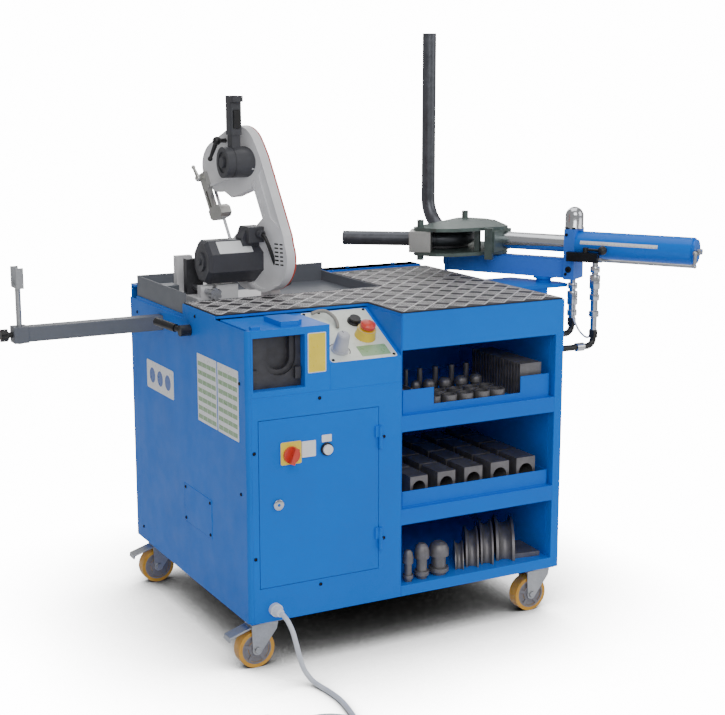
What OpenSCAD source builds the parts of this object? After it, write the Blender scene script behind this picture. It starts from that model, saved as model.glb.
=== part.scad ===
// Pipe workstation on castors: a blue sheet-metal cabinet that carries a hydraulic ram bender on a
// swivel bracket, a band saw with a support arm, a forming head, a sloped console and tool shelves.
// Millimetres, +Z up. The origin is on the floor under the middle of the cabinet.

/* [Cabinet] */
// Width of the cabinet
cab_w = 950; // [920:5:1000]
// Depth of the cabinet
cab_d = 840; // [820:5:880]
// Height of the table sheet above the cabinet floor
cab_h = 766; // [756:1:776]
// Height of the cabinet floor above the ground
floor_gap = 130; // [125:1:140]
// Thickness of the sheet metal
sheet = 3; // [2:0.5:4]
// Thickness of the table plate
top_t = 6; // [5:1:8]
// Width of the left section behind the door
left_w = 440; // [430:1:450]
// Radius of the front left corner post
corner_r = 12; // [8:1:16]
// Distance of the screwed front panel's top below the table
panel_drop = 178; // [170:1:190]
// Distance of the left wall's top below the table where the saw tray stands
wall_drop = 39; // [34:1:44]

/* [Shelves] */
// Width of the right front post
post_w = 26; // [20:1:32]
// Height of the sill under the bottom bay
sill_h = 29; // [20:1:35]
// Clear height of the bottom bay
bay_low_h = 169; // [160:1:180]
// Clear height of the middle bay
bay_mid_h = 211; // [200:1:220]
// Clear height of the top bay
bay_top_h = 175; // [165:1:180]
// Height of a shelf's folded front edge
shelf_edge = 43; // [35:1:50]
// Depth of the shelf bays
bay_depth = 560; // [520:5:600]
// Height of the upper tool tray's walls
tray_high = 65; // [50:1:75]
// Height of the middle tool tray's walls
tray_mid = 44; // [35:1:55]

/* [Table] */
// Thickness of the ribbed rubber mat
mat_t = 4; // [3:0.5:6]
// Distance of the mat's back edge from the cabinet's back
mat_margin = 100; // [95:1:120]
// Depth of the head and console block in front of the mat
head_d = 190; // [180:1:200]
// Distance of the head's and console's top below the table
head_drop = 9; // [8:1:20]

/* [Forming head and console] */
// Width of the forming head
head_w = 218; // [210:1:225]
// Width of the head's aperture
aperture_w = 142; // [130:1:145]
// Height of the head's aperture
aperture_h = 134; // [120:1:136]
// Depth of the head's aperture
aperture_d = 150; // [120:1:160]
// Width of the die's slot
die_slot = 63; // [40:1:80]
// Fall of the console's face from back to front
console_fall = 100; // [94:1:106]
// Diameter of the emergency button
estop_d = 40; // [36:1:44]
// Diameter of the start button
start_d = 30; // [26:1:34]
// Diameter of the pressure knob
knob_d = 40; // [34:1:44]

/* [Door] */
// Left edge of the door opening
door_x = 29; // [26:1:34]
// Lower edge of the door opening
door_z = 91; // [85:1:95]
// Width of the door opening
door_w = 342; // [330:1:345]
// Distance of the door's top below the front panel's top
door_drop = 58; // [52:1:72]
// Gap round the door
door_gap = 1.5; // [1:0.5:2]
// Length of a door hinge
hinge_l = 60; // [40:2:70]
// Diameter of a hinge knuckle
knuckle_d = 10; // [9:1:11]

/* [Castors] */
// Diameter of a wheel
wheel_d = 100; // [96:1:104]
// Width of a wheel
wheel_w = 34; // [30:1:38]
// Distance of the axle behind the swivel axis
trail = 31; // [28:1:34]
// Side of a castor's top plate
castor_plate = 70; // [64:1:74]
// Distance of the front castors from the front
castor_front = 48; // [44:1:54]
// Distance of the rear castors from the back
castor_back = 70; // [60:1:80]
// Distance of the left castors from the left side
castor_left = 62; // [58:1:70]
// Distance of the right castors from the right side
castor_right = 38; // [37:1:44]
// Diameter of the axle
axle_d = 12; // [10:1:14]

/* [Support arm] */
// Side of the arm's square tube
arm_sq = 40; // [35:1:45]
// Place of the arm's middle from the cabinet front
arm_y = 590; // [585:1:595]
// Distance of the arm's middle below the table
arm_drop = 76; // [74:1:80]
// Reach of the arm out of the cabinet
arm_out = 377; // [340:1:400]
// Length of the arm inside its socket
arm_in = 240; // [200:5:260]
// Diameter of the fork's rod
fork_rod = 15; // [12:1:18]
// Clear gap between the fork's prongs
fork_gap = 46; // [40:1:50]
// Height of the fork's seat above the arm's middle
fork_rise = 130; // [120:1:140]
// Height of a prong
prong_h = 50; // [40:1:60]

/* [Saw] */
// Angle of the bow's plane to the plane of the cut
saw_yaw = 18; // [14:1:20]
// Distance of the saw's pivot from the left side
saw_x = 213.6; // [210:0.2:218]
// Distance of the saw's pivot from the front
saw_y = 460; // [456:1:464]
// Height of the bow's middle above the table
saw_rise = 111; // [110:1:116]
// Thickness of the bow casting
bow_t = 30; // [26:1:34]
// Thickness of the bow's cover
cover_t = 6; // [4:1:8]
// Diameter of the bow's pivot pin
pivot_d = 30; // [24:1:32]
// Length of the motor
motor_l = 140; // [130:1:146]
// Width of the motor across its flats
motor_w = 116; // [108:1:116]
// Diameter of the tension drum
drum_d = 84; // [76:1:88]
// Length of the tension drum
drum_l = 66; // [60:1:72]
// Height of the saw tray's left and back walls
tray_h = 59; // [50:1:62]
// Distance of the tray's underside below the table
tray_drop = 31; // [28:1:32]
// Front edge of the tray
tray_y = 420; // [416:1:424]
// Right edge of the tray
tray_x = 608; // [600:1:612]

/* [Bender] */
// Angle of the ram's axis
ram_yaw = -57; // [-60:1:-54]
// Distance of the swivel beyond the cabinet's right side
swivel_out = 130; // [125:1:140]
// Distance of the swivel from the cabinet front
swivel_y = 286; // [280:1:292]
// Height of the bracket plate above the table
bracket_rise = 2; // [-2:1:6]
// Height of the ram's axis above the bracket plate
ram_up = 116; // [116:1:122]
// Diameter of the swivel pin
swivel_d = 30; // [26:1:32]
// Width of the beam
beam_w = 52; // [48:1:56]
// Height of the beam
beam_h = 52; // [48:1:53]
// Diameter of the piston rod
rod_d = 50; // [44:1:52]
// Outer diameter of the cylinder barrel
barrel_d = 78; // [74:1:82]
// Inner diameter of the cylinder barrel
barrel_bore = 66; // [62:1:68]
// Length of the cylinder barrel
barrel_l = 339; // [320:1:350]
// Outer diameter of the bent tube
tube_d = 42; // [40:1:43]
// Wall of the bent tube
tube_wall = 3; // [2:0.5:4]
// Radius of the bend at the tube's middle
bend_r = 88; // [86:1:92]
// Angle of each tube leg to the ram's axis
leg_angle = 21; // [20:0.5:22]
// Length of the free front leg
leg_l = 282; // [260:1:300]
// Height of the upright leg above its bend
upright_l = 503; // [450:1:520]
// Thickness of a wing plate
wing_t = 10; // [8:1:11]
// Clear gap between the wing plates
wing_gap = 62; // [60:0.5:63]
// Diameter of the counter-die pins
pin_d = 20; // [18:1:22]

/* [Mains lead] */
// Diameter of the lead
lead_d = 13; // [11:0.5:14]
// Loops in each of the stored coil's two layers
coil_loops = 3; // [2:1:3]
// Outer radius of the coil
coil_r = 102; // [100:1:106]
// Distance from loop to loop
coil_pitch = 16; // [15.5:0.5:16]

/* [Hidden] */
$fn = 48;

// Gap of a running fit, on the diameter
run_fit = 0.1;
// Gap between pieces that pass each other
pass_gap = 0.3;

// Heights of the shelf bays, from the sill up
shelf_1 = sill_h + bay_low_h + shelf_edge;
shelf_2 = shelf_1 + bay_mid_h + shelf_edge;
fascia_z = shelf_2 + bay_top_h;
back_h = cab_h - top_t;
mat_z = cab_h + mat_t;
mat_back = cab_d - mat_margin;
panel_h = cab_h - panel_drop;
door_h = panel_h - door_z - door_drop;
low_wall_h = cab_h - wall_drop;
bay_x1 = cab_w - post_w;

// Forming head and console
head_h = cab_h - head_drop;
console_z = head_h - console_fall;
head_x0 = corner_r;
head_x1 = head_x0 + head_w;
aperture_x = head_x0 + 6;
aperture_z = panel_h + 16;
slope = atan2(head_h - console_z, head_d);

// Castor swivel axes: name, place and whether it has a brake pedal
castor_left_x = castor_left;
castor_right_x = cab_w - castor_right;
castor_front_y = castor_front;
castor_back_y = cab_d - castor_back;
axle_z = wheel_d / 2 - floor_gap;
fork_top = -12;
fork_plate = 6;
pedal_pin = 5;

// Support arm
arm_z = cab_h - arm_drop;
fork_seat = arm_z + fork_rise;

// Saw tray and base
tray_z = cab_h - tray_drop;
saw_z = cab_h + saw_rise;
tray_sheet = 3;
tray_x0 = 8;
tray_y1 = cab_d - 40;
base_z = tray_z + tray_sheet;
vise_x0 = 60;
vise_x1 = 108;
vise_z = tray_z + 35;
jaw_y = 560;
jaw_h = 98;
jaw_t = 24;
screw_z = vise_z + 20;
screw_d = 16;

// Band wheels inside the bow, measured from the pivot, and the line that the blade runs on
wheel_low = [-36, 6];
wheel_high = [75, 253];
band_lean = atan2(wheel_high[0] - wheel_low[0], wheel_high[1] - wheel_low[1]);
band_r = 97;
blade_from = 30;
blade_to = 270;
blade_w = 12;
blade_t = 1;
blade_x = 2;
drum_at = [10, 257];
// The hinge and the motor share one axis along the tube that is cut, a little under the bow's middle
hinge_low = 8;
motor_r = motor_w / 2 / cos(22.5);

// Bender, along the ram from the swivel and up from the ram's axis
bracket_z = cab_h + bracket_rise;
ram_z = bracket_z + ram_up;
beam_s0 = -301;
flange_s0 = 75;
flange_t = 32;
flange_s1 = flange_s0 + flange_t;
beam_top = -46;
beam_low = beam_top - beam_h;
rail_t = 4;
wing_in = wing_gap / 2;
wing_out = wing_in + wing_t;
former_s = -341;
pin_s = -328;
pin_t = 155;
tangent = [former_s + bend_r * sin(leg_angle), bend_r * cos(leg_angle)];
cross_s = former_s + bend_r / sin(leg_angle);
die_reach = pin_t * cos(leg_angle) - (cross_s - pin_s) * sin(leg_angle);
groove_d = tube_d + 6;
rise_r = 100;
rear_leg = 47;
swivel_x = cab_w + swivel_out;

// Mains lead: route from the gland down to the floor and out in front, chosen by hand
lead_floor = lead_d / 2 + 0.1 - floor_gap;
gland_at = [69, 33];
gland_l = 36;
coil_at = [2, -430];
coil_in = coil_r - coil_pitch * coil_loops;
layer_h = lead_d + 0.6;
plug_tail = 46;
lead_route = [[69, -gland_l, 33], [69, -43, 33], [69, -52, 33], [70, -77, 25], [73, -98, 4], [78, -106, -25],
    [83, -107, -46], [88, -108, -67], [96, -116, -95], [106, -136, -115],
    [115, -165, lead_floor + 1], [121, -198, lead_floor], [124, -250, lead_floor],
    [119, -300, lead_floor], [110, -350, lead_floor], [coil_at[0] + coil_r, -388, lead_floor],
    [coil_at[0] + coil_r, -403, lead_floor],
    [coil_at[0] + coil_r, coil_at[1] + lead_d, lead_floor]];

// The coil winds in on the floor, climbs a layer in half a turn and winds out again
coil_steps = 24;
coil_turns = 2 * coil_loops + 0.5;
function coil_radius(turn) = turn < coil_loops ? coil_r - coil_pitch * turn :
    turn < coil_loops + 0.5 ? coil_in : coil_in + coil_pitch * (turn - coil_loops - 0.5);
function coil_lift(turn) = layer_h * min(max(2 * (turn - coil_loops), 0), 1);
coil_turned = [for (i = [0:coil_steps * coil_turns])
    let (turn = i / coil_steps, r = coil_radius(turn))
    [coil_at[0] + r * cos(-360 * turn), coil_at[1] + r * sin(-360 * turn),
        lead_floor + coil_lift(turn)]];
coil_end = [coil_at[0] - coil_r, coil_at[1] + plug_tail, lead_floor + layer_h];
coil_points = concat([lead_route[len(lead_route) - 1]], coil_turned, [coil_end]);

// Points on a smooth line through a route
function blend(a, b, c, d, t) = 0.5 * (2 * b + (c - a) * t + (2 * a - 5 * b + 4 * c - d) * t * t
    + (3 * b - a - 3 * c + d) * t * t * t);
function smooth(p, steps) = let (n = len(p)) concat(
    [for (i = [0:n - 2], j = [0:steps - 1])
        blend(p[max(i - 1, 0)], p[i], p[i + 1], p[min(i + 2, n - 1)], j / steps)],
    [p[n - 1]]);
function unit(v) = v / norm(v);
function heading(p, i) = unit(p[min(i + 1, len(p) - 1)] - p[max(i - 1, 0)]);
function side(v, t) = unit(v - (v * t) * t);
// Sideways directions carried along the line without twist
function sides(p, i, v) = i >= len(p) ? [] :
    let (s = side(v, heading(p, i))) concat([s], sides(p, i + 1, s));
function least_gap(p, skip, d) = min([for (i = [0:len(p) - 1], j = [0:len(p) - 1])
    if (j > i + skip) norm(p[i] - p[j]) - d]);

// One closed tube along a line
module tube_along(p, d, n, first) {
    s = sides(p, 0, first);
    rings = [for (i = [0:len(p) - 1], k = [0:n - 1])
        p[i] + d / 2 * (cos(360 * k / n) * s[i] + sin(360 * k / n) * cross(heading(p, i), s[i]))];
    last = (len(p) - 1) * n;
    walls = [for (i = [0:len(p) - 2], k = [0:n - 1], f = [0, 1])
        let (a = i * n + k, b = i * n + (k + 1) % n) f == 0 ? [a, a + n, b] : [b, a + n, b + n]];
    caps = [for (k = [1:n - 2], f = [0, 1])
        f == 0 ? [0, k, k + 1] : [last, last + k + 1, last + k]];
    polyhedron(rings, concat(walls, caps), convexity = 8);
}

module cab() translate([-cab_w / 2, -cab_d / 2, floor_gap]) children();
module box(a, b) translate(a) cube(b - a);
module rod_x(p, l, d) translate(p) rotate([0, 90, 0]) cylinder(h = l, d = d);
module rod_y(p, l, d) translate(p) rotate([-90, 0, 0]) cylinder(h = l, d = d);
module rod_z(p, l, d) translate(p) cylinder(h = l, d = d);
// A flat outline in Y and Z, given its thickness along X
module plate_x(x0, x1) translate([x0, 0, 0]) rotate([90, 0, 90]) linear_extrude(x1 - x0) children();
// A flat outline in X and Z, given its thickness along Y
module plate_y(y0, y1) translate([0, y1, 0]) rotate([90, 0, 0]) linear_extrude(y1 - y0) children();

module cabinet_shell() color("steelblue") cab() {
    difference() {
        union() {
            box([sheet, 0, 0], [cab_w, cab_d, sheet]);
            box([sheet, cab_d - sheet, sheet], [cab_w, cab_d, back_h]);
            box([cab_w - sheet, 0, sheet], [cab_w, cab_d - sheet, cab_h]);
        }
        for (hose = [hose_1, hose_2])
            rod_x([cab_w - sheet - 1, hose[1], hose[2]], sheet + 2, hose_d + run_fit);
    }
    difference() {
        box([bay_x1, 0, sheet], [cab_w - sheet, post_w, fascia_z]);
        box([bay_x1 + sheet, sheet, sheet - 1], [cab_w, post_w + 1, fascia_z + 1]);
    }
    box([left_w, 0, sheet], [bay_x1, sheet, sill_h]);
    box([left_w, sheet, sill_h - sheet], [bay_x1, bay_depth, sill_h]);
}

module left_panel() color("steelblue") cab() {
    difference() {
        plate_x(0, sheet) polygon([[corner_r, 0], [cab_d, 0], [cab_d, low_wall_h],
            [tray_y, low_wall_h], [tray_y, cab_h], [head_d + sheet, cab_h],
            [head_d + sheet, head_h], [corner_r, head_h]]);
        arm_space();
        rod_x([-1, clamp_at[0], clamp_at[1]], sheet + 2, clamp_stem + run_fit);
    }
    // Rounded corner post
    intersection() {
        rod_z([corner_r, corner_r, sheet], head_h - sheet, 2 * corner_r);
        box([0, 0, sheet], [corner_r, corner_r, head_h]);
    }
    // Welded socket that guides the support arm, and the ledge under the saw tray
    difference() {
        union() {
            box([sheet, arm_y - arm_sq / 2 - 6, arm_z - arm_sq / 2 - 6],
                [160, arm_y + arm_sq / 2 + 6, arm_z + arm_sq / 2 + 6]);
            box([sheet, tray_y + 5, low_wall_h - 30], [2 * sheet, tray_y1 - 5, tray_z]);
        }
        arm_space();
    }
    box([sheet, tray_y + 5, tray_z - ledge_t], [tray_x0 + ledge_w, tray_y1 - 5, tray_z]);
    // Service hatch
    box([-hatch_t, hatch_at[0], hatch_at[1]], [0, hatch_at[0] + hatch_w, hatch_at[1] + hatch_h]);
}

ledge_t = 5;
ledge_w = 14;
hatch_t = 1;
hatch_at = [240, 158];
hatch_w = 195;
hatch_h = 108;

module arm_space() box([-1, arm_y - arm_sq / 2 - pass_gap, arm_z - arm_sq / 2 - pass_gap],
    [161, arm_y + arm_sq / 2 + pass_gap, arm_z + arm_sq / 2 + pass_gap]);

module front_panel() color("steelblue") cab() {
    difference() {
        box([corner_r, 0, sheet], [left_w - sheet, sheet, panel_h]);
        box([door_x, -1, door_z], [door_x + door_w, sheet + 1, door_z + door_h]);
        rod_y([gland_at[0], -1, gland_at[1]], sheet + 2, lead_d + 5 + run_fit);
    }
    for (z = hinge_places) {
        rod_z([hinge_x, hinge_y, z], hinge_l / 2, knuckle_d);
        rod_z([hinge_x, hinge_y, z], hinge_l, knuckle_d / 2);
        box([hinge_x, hinge_y, z], [hinge_x + 8, 0, z + hinge_l / 2]);
    }
}
hinge_x = door_x + door_w + 2;
hinge_y = -knuckle_d / 2;
hinge_places = [door_z + 54, door_z + door_h - 111];

module shelf_unit() color("royalblue") cab() {
    plate_x(left_w - sheet, left_w) polygon([[0, sheet], [cab_d - sheet, sheet],
        [cab_d - sheet, under_tray], [tray_y - 2 * sheet, under_tray],
        [tray_y - 2 * sheet, back_h], [0, back_h]]);
    box([left_w, bay_depth, sheet], [bay_x1 + sheet, bay_depth + sheet, under_tray]);
    box([bay_x1, post_w, sheet], [bay_x1 + sheet, bay_depth, under_tray]);
    for (z = [shelf_1, shelf_2]) {
        box([left_w, 0, z - shelf_edge], [bay_x1, sheet, z]);
        box([left_w, sheet, z - sheet], [bay_x1, bay_depth, z]);
    }
    tool_tray(shelf_1, tray_mid, 0);
    tool_tray(shelf_2, tray_high, tray_high * 0.7);
}
under_tray = tray_z - 2 * ledge_t;
tray_in_x0 = left_w + 10;
tray_in_x1 = bay_x1 - 9;
tray_in_y0 = 15;
tray_in_y1 = bay_depth - 80;
tray_wall = 2;

// A lift-out tray with an optional low middle in its front wall
module tool_tray(z, h, dip) difference() {
    box([tray_in_x0, tray_in_y0, z], [tray_in_x1, tray_in_y1, z + h]);
    box([tray_in_x0 + tray_wall, tray_in_y0 + tray_wall, z + tray_wall],
        [tray_in_x1 - tray_wall, tray_in_y1 - tray_wall, z + h + 1]);
    if (dip > 0)
        box([tray_in_x0 + 95, tray_in_y0 - 1, z + h - dip],
            [tray_in_x1 - 95, tray_in_y0 + tray_wall + 1, z + h + 1]);
}

module top_plate() color("steelblue") cab() {
    difference() {
        union() {
            box([sheet, head_d, back_h], [cab_w - sheet, cab_d, cab_h]);
            box([left_w, 0, back_h], [cab_w - sheet, head_d, cab_h]);
        }
        box([sheet - 1, tray_y - 1, back_h - 1], [tray_x + 1, tray_y1 + 1, cab_h + 1]);
    }
    box([left_w, 0, fascia_z], [cab_w - sheet, sheet, back_h]);
    // Hanging ledge at the tray's right end
    box([tray_x + 1, tray_y + 5, tray_z - ledge_t], [tray_x + 4, tray_y1 - 5, back_h]);
    box([tray_x - ledge_w, tray_y + 5, tray_z - ledge_t], [tray_x + 1, tray_y1 - 5, tray_z]);
    // Pale rear strip with its two screws
    box([tray_x + 4, mat_back + 30, cab_h], [cab_w - 5, cab_d - 10, cab_h + 5]);
    for (x = [tray_x + 90, cab_w - 90]) rod_z([x, cab_d - 40, cab_h + 5], 5, 12);
}

module rubber_mat() color("dimgray") cab() translate([0, 0, cab_h]) linear_extrude(mat_t)
    polygon([[sheet, head_d], [left_w, head_d], [left_w, 4], [cab_w - sheet, 4],
        [cab_w - sheet, mat_back], [tray_x + 4, mat_back], [tray_x + 4, tray_y - 4],
        [sheet, tray_y - 4]]);

// Black screws of the front panel, the left panel and its hatch
screw_head = 9;
screw_h = 3;
module panel_screws() color("black") cab() {
    door_x1 = door_x + door_w;
    for (x = [door_x - 11, door_x1 + 15], z = [door_z + 82, door_z + door_h - 82])
        rod_y([x, -screw_h, z], screw_h, screw_head);
    for (z = [door_z - 14, panel_h - 17])
        rod_y([door_x + door_w / 2, -screw_h, z], screw_h, screw_head);
    for (z = [panel_h - 253, panel_h + 32]) rod_x([-screw_h, 43, z], screw_h, screw_head);
    for (z = [40, low_wall_h - 37]) rod_x([-screw_h, cab_d - 60, z], screw_h, screw_head);
    rod_x([-screw_h, tray_y - 90, cab_h - 21], screw_h, screw_head);
    for (y = [10, hatch_w - 10], z = [10, hatch_h - 10])
        rod_x([-hatch_t - screw_h, hatch_at[0] + y, hatch_at[1] + z], screw_h, screw_head - 1);
}

// Oil tank with its electric pump behind the door
module power_unit() color("slategray") cab() {
    box([70, 150, sheet], [390, 520, 230]);
    box([62, 142, 230], [398, 528, 240]);
    rod_z([230, 335, 240], 40, 170);
    rod_z([230, 335, 280], 210, 150);
    rod_z([230, 335, 490], 30, 130);
    box([285, 300, 330], [335, 370, 430]);
    box([90, 190, 240], [150, 330, 310]);
}

module head_block() color("steelblue") cab() {
    difference() {
        box([head_x0, 0, panel_h], [head_x1, head_d, head_h]);
        box([aperture_x, -1, aperture_z],
            [aperture_x + aperture_w, aperture_d, aperture_z + aperture_h]);
    }
    // Raised cover over the press with a chamfered corner
    translate([0, 0, head_h]) linear_extrude(14)
        polygon([[102, 16], [150, 16], [168, 34], [168, 120], [102, 120]]);
    box([20, 12, head_h], [44, 26, head_h + 8]);
}

die_offset = 12;
module head_die() color("dimgray") cab() {
    slot_x = aperture_x + aperture_w / 2 + die_offset;
    slot_z = aperture_z + aperture_h * 0.56;
    difference() {
        box([aperture_x, 25, aperture_z],
            [aperture_x + aperture_w, 62, aperture_z + aperture_h]);
        for (step = [[50, die_slot], [33, die_slot + 26]]) {
            rod_y([slot_x, 20, slot_z], step[0] - 20, step[1]);
            box([slot_x - step[1] / 2, 20, slot_z],
                [slot_x + step[1] / 2, step[0], aperture_z + aperture_h + 1]);
        }
    }
    rod_y([slot_x, 62, slot_z], aperture_d - 62, 50);
    // Clamp lugs at the die's sides
    for (x = [aperture_x + 4, aperture_x + aperture_w - 20])
        box([x, 15, aperture_z + 20], [x + 16, 25, aperture_z + 50]);
}

// Place on the sloped face: across the cabinet and up the slope
module on_slope(x, up) translate([x, 0, console_z]) rotate([slope, 0, 0]) translate([0, up, 0])
    children();
console_x1 = left_w - sheet;
start_at = [371, 155];
estop_at = [374, 93];
knob_at = [278, 46];
estop_base_h = 26;

module console() color("honeydew") cab() {
    difference() {
        plate_x(head_x1, console_x1) polygon([[0, panel_h], [0, console_z], [head_d, head_h],
            [head_d, panel_h]]);
        plate_x(head_x1 + sheet, console_x1 - sheet) polygon([[sheet, panel_h - 1],
            [sheet, console_z - sheet], [head_d - sheet, head_h - 2 * sheet],
            [head_d - sheet, panel_h - 1]]);
        on_slope(start_at[0], start_at[1]) rod_z([0, 0, -30], 60, start_d - 6);
        on_slope(estop_at[0], estop_at[1]) rod_z([0, 0, -30], 60, 16 + run_fit);
        on_slope(knob_at[0], knob_at[1]) rod_z([0, 0, -30], 60, 8 + run_fit);
    }
    on_slope(estop_at[0], estop_at[1]) difference() {
        rod_z([0, 0, 0], estop_base_h, 48);
        rod_z([0, 0, -1], estop_base_h + 2, 16 + run_fit);
    }
    on_slope(start_at[0], start_at[1]) difference() {
        rod_z([0, 0, 0], 6, start_d + 8);
        rod_z([0, 0, -1], 8, start_d + run_fit);
    }
}

module start_button() color("black") cab() on_slope(start_at[0], start_at[1]) {
    rod_z([0, 0, 5.5], 9, start_d);
    rod_z([0, 0, -12], 17.5, start_d - 6 - run_fit);
}

module estop_button() color("red") cab() on_slope(estop_at[0], estop_at[1]) {
    rod_z([0, 0, -8], estop_base_h + 14, 16);
    cap_z = estop_base_h + 6;
    dome_r = estop_d * 0.65;
    rod_z([0, 0, cap_z], 8, estop_d);
    intersection() {
        translate([0, 0, cap_z + 16 - dome_r]) sphere(r = dome_r);
        rod_z([0, 0, cap_z + 8], 10, estop_d - 3);
    }
}

module pressure_knob() color("whitesmoke") cab() on_slope(knob_at[0], knob_at[1]) {
    rod_z([0, 0, -10], 12, 8);
    rod_z([0, 0, pass_gap], 6, knob_d + 6);
    translate([0, 0, 6]) cylinder(h = 44, d1 = knob_d, d2 = knob_d - 7);
    translate([0, 0, 50]) cylinder(h = 4, d1 = knob_d - 7, d2 = knob_d - 14);
}

module door() color("steelblue") cab() {
    d0 = [door_x + door_gap, 0, door_z + door_gap];
    d1 = [door_x + door_w - door_gap, sheet, door_z + door_h - door_gap];
    difference() {
        union() {
            box(d0, d1);
            // Folded edges
            box([d0[0] + 12, sheet, d0[2] + 12], [d0[0] + 14, sheet + 14, d1[2] - 12]);
            box([d1[0] - 16, sheet, d0[2] + 12], [d1[0] - 14, sheet + 14, d1[2] - 12]);
            box([switch_at[0] - 29, -2, switch_at[1] - 25], [switch_at[0] + 29, 0, switch_at[1] + 34]);
            box([switch_at[0] + 31, -1, switch_at[1] - 12], [switch_at[0] + 70, 0, switch_at[1] + 30]);
            box([reset_at[0] - 14, -1, reset_at[1] + 19], [reset_at[0] + 14, 0, reset_at[1] + 38]);
            rod_y([reset_at[0], -6, reset_at[1]], 6, 32);
        }
        rod_y([switch_at[0], -3, switch_at[1]], 12, 10 + run_fit);
        rod_y([reset_at[0], -7, reset_at[1]], 20, 26 + run_fit);
    }
    // Quarter-turn lock with its latch tongue
    rod_y([82, -5, 308], 5, 28);
    rod_y([82, sheet, 308], 10, 16);
    for (z = hinge_places) difference() {
        union() {
            rod_z([hinge_x, hinge_y, z + hinge_l / 2 + pass_gap], hinge_l / 2 - pass_gap, knuckle_d);
            box([hinge_x - 14, hinge_y, z + hinge_l / 2 + pass_gap], [hinge_x, 0, z + hinge_l]);
        }
        rod_z([hinge_x, hinge_y, z - 1], hinge_l + 2, knuckle_d / 2 + run_fit);
    }
}
switch_at = [118, door_z + door_h - 96];
reset_at = [219, door_z + door_h - 94];

module switch_knob() color("crimson") cab() translate([switch_at[0], 0, switch_at[1]]) {
    rod_y([0, -2 - pass_gap - 8, 0], 8, 44);
    rod_y([0, -2 - pass_gap, 0], 10, 10);
    rotate([0, 20, 0]) box([-6, -28, -21], [6, -10, 21]);
}

module reset_button() color("white") cab() rod_y([reset_at[0], -12, reset_at[1]], 14, 26);

// Castor parts are drawn about their swivel axis, under the cabinet's floor
module castor(x, y) cab() translate([x, y, 0]) children();

module castor_plates() color("silver")
    for (x = [castor_left_x, castor_right_x], y = [castor_front_y, castor_back_y]) castor(x, y) {
        box([-castor_plate / 2, -castor_plate / 2, -6], [castor_plate / 2, castor_plate / 2, 0]);
        rod_z([0, 0, fork_top + pass_gap], -fork_top - 6 - pass_gap, 50);
        rod_z([0, 0, fork_top - 14], 20, 12);
    }

module castor_fork(brake) color("silver") {
    leg_y = wheel_w / 2 + 3;
    fork_w = leg_y + 3;
    difference() {
        union() {
            box([-46, -fork_w, fork_top - fork_plate], [27, fork_w, fork_top]);
            for (y = [-fork_w, leg_y]) plate_y(y, y + 3) union() {
                polygon([[-46, fork_top], [27, fork_top], [24, -30], [-trail + 13, axle_z - 4],
                    [-trail - 13, axle_z - 4], [-46, -40]]);
                translate([-trail, axle_z]) circle(d = 28);
            }
        }
        rod_z([0, 0, fork_top - fork_plate - 1], fork_plate + 2, 12 + run_fit);
    }
    rod_y([-trail, -fork_w - 4, axle_z], 2 * fork_w + 8, axle_d);
    if (brake) rod_y([-36, -leg_y, -22], 2 * leg_y, pedal_pin);
}

module castor_wheel() color("goldenrod") translate([-trail, 0, axle_z]) rotate([90, 0, 0])
    rotate_extrude() difference() {
        translate([axle_d / 2 + run_fit / 2, -wheel_w / 2 - 2]) square([wheel_d / 2 - axle_d / 2
            - run_fit / 2, wheel_w + 4]);
        for (s = [-1, 1]) {
            translate([22, s * (wheel_w / 2 + 2) - 6]) square([14, 12]);
            translate([14, s * (wheel_w / 2 + 4) - 4]) square([wheel_d, 8]);
        }
    }

module brake_pedal() color("silver") difference() {
    hub_w = wheel_w / 2 + 3 - pass_gap;
    union() {
        rod_y([-36, -hub_w, -22], 2 * hub_w, 8);
        plate_y(-hub_w, hub_w) polygon([[-37, -18.5], [-50, -18.5], [-106, -36], [-108, -48],
            [-104, -48], [-102, -40], [-49, -23], [-37, -25.5]]);
    }
    rod_y([-36, -hub_w - 1, -22], 2 * hub_w + 2, pedal_pin + run_fit);
}

module fork_front_left() castor(castor_left_x, castor_front_y) castor_fork(true);
module fork_front_right() castor(castor_right_x, castor_front_y) castor_fork(false);
module fork_back_left() castor(castor_left_x, castor_back_y) castor_fork(true);
module fork_back_right() castor(castor_right_x, castor_back_y) castor_fork(false);
module wheel_front_left() castor(castor_left_x, castor_front_y) castor_wheel();
module wheel_front_right() castor(castor_right_x, castor_front_y) castor_wheel();
module wheel_back_left() castor(castor_left_x, castor_back_y) castor_wheel();
module wheel_back_right() castor(castor_right_x, castor_back_y) castor_wheel();
module pedal_front_left() castor(castor_left_x, castor_front_y) brake_pedal();
module pedal_back_left() castor(castor_left_x, castor_back_y) brake_pedal();

arm_block = 40;
fork_x = -arm_out - arm_block / 2;

module arm_tube() color("slategray") cab() {
    h = arm_sq / 2;
    difference() {
        box([-arm_out, arm_y - h, arm_z - h], [arm_in, arm_y + h, arm_z + h]);
        box([-arm_out - 1, arm_y - h + sheet, arm_z - h + sheet],
            [arm_in + 1, arm_y + h - sheet, arm_z + h - sheet]);
    }
    difference() {
        box([-arm_out - arm_block, arm_y - h - 2, arm_z - h - 2], [-arm_out, arm_y + h + 2, arm_z + h + 2]);
        rod_z([fork_x, arm_y, arm_z - h - 3], arm_sq + 6, fork_rod + run_fit);
        rod_x([-arm_out - arm_block - 1, arm_y, arm_z], arm_block / 2, 8 + run_fit);
    }
}

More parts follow.
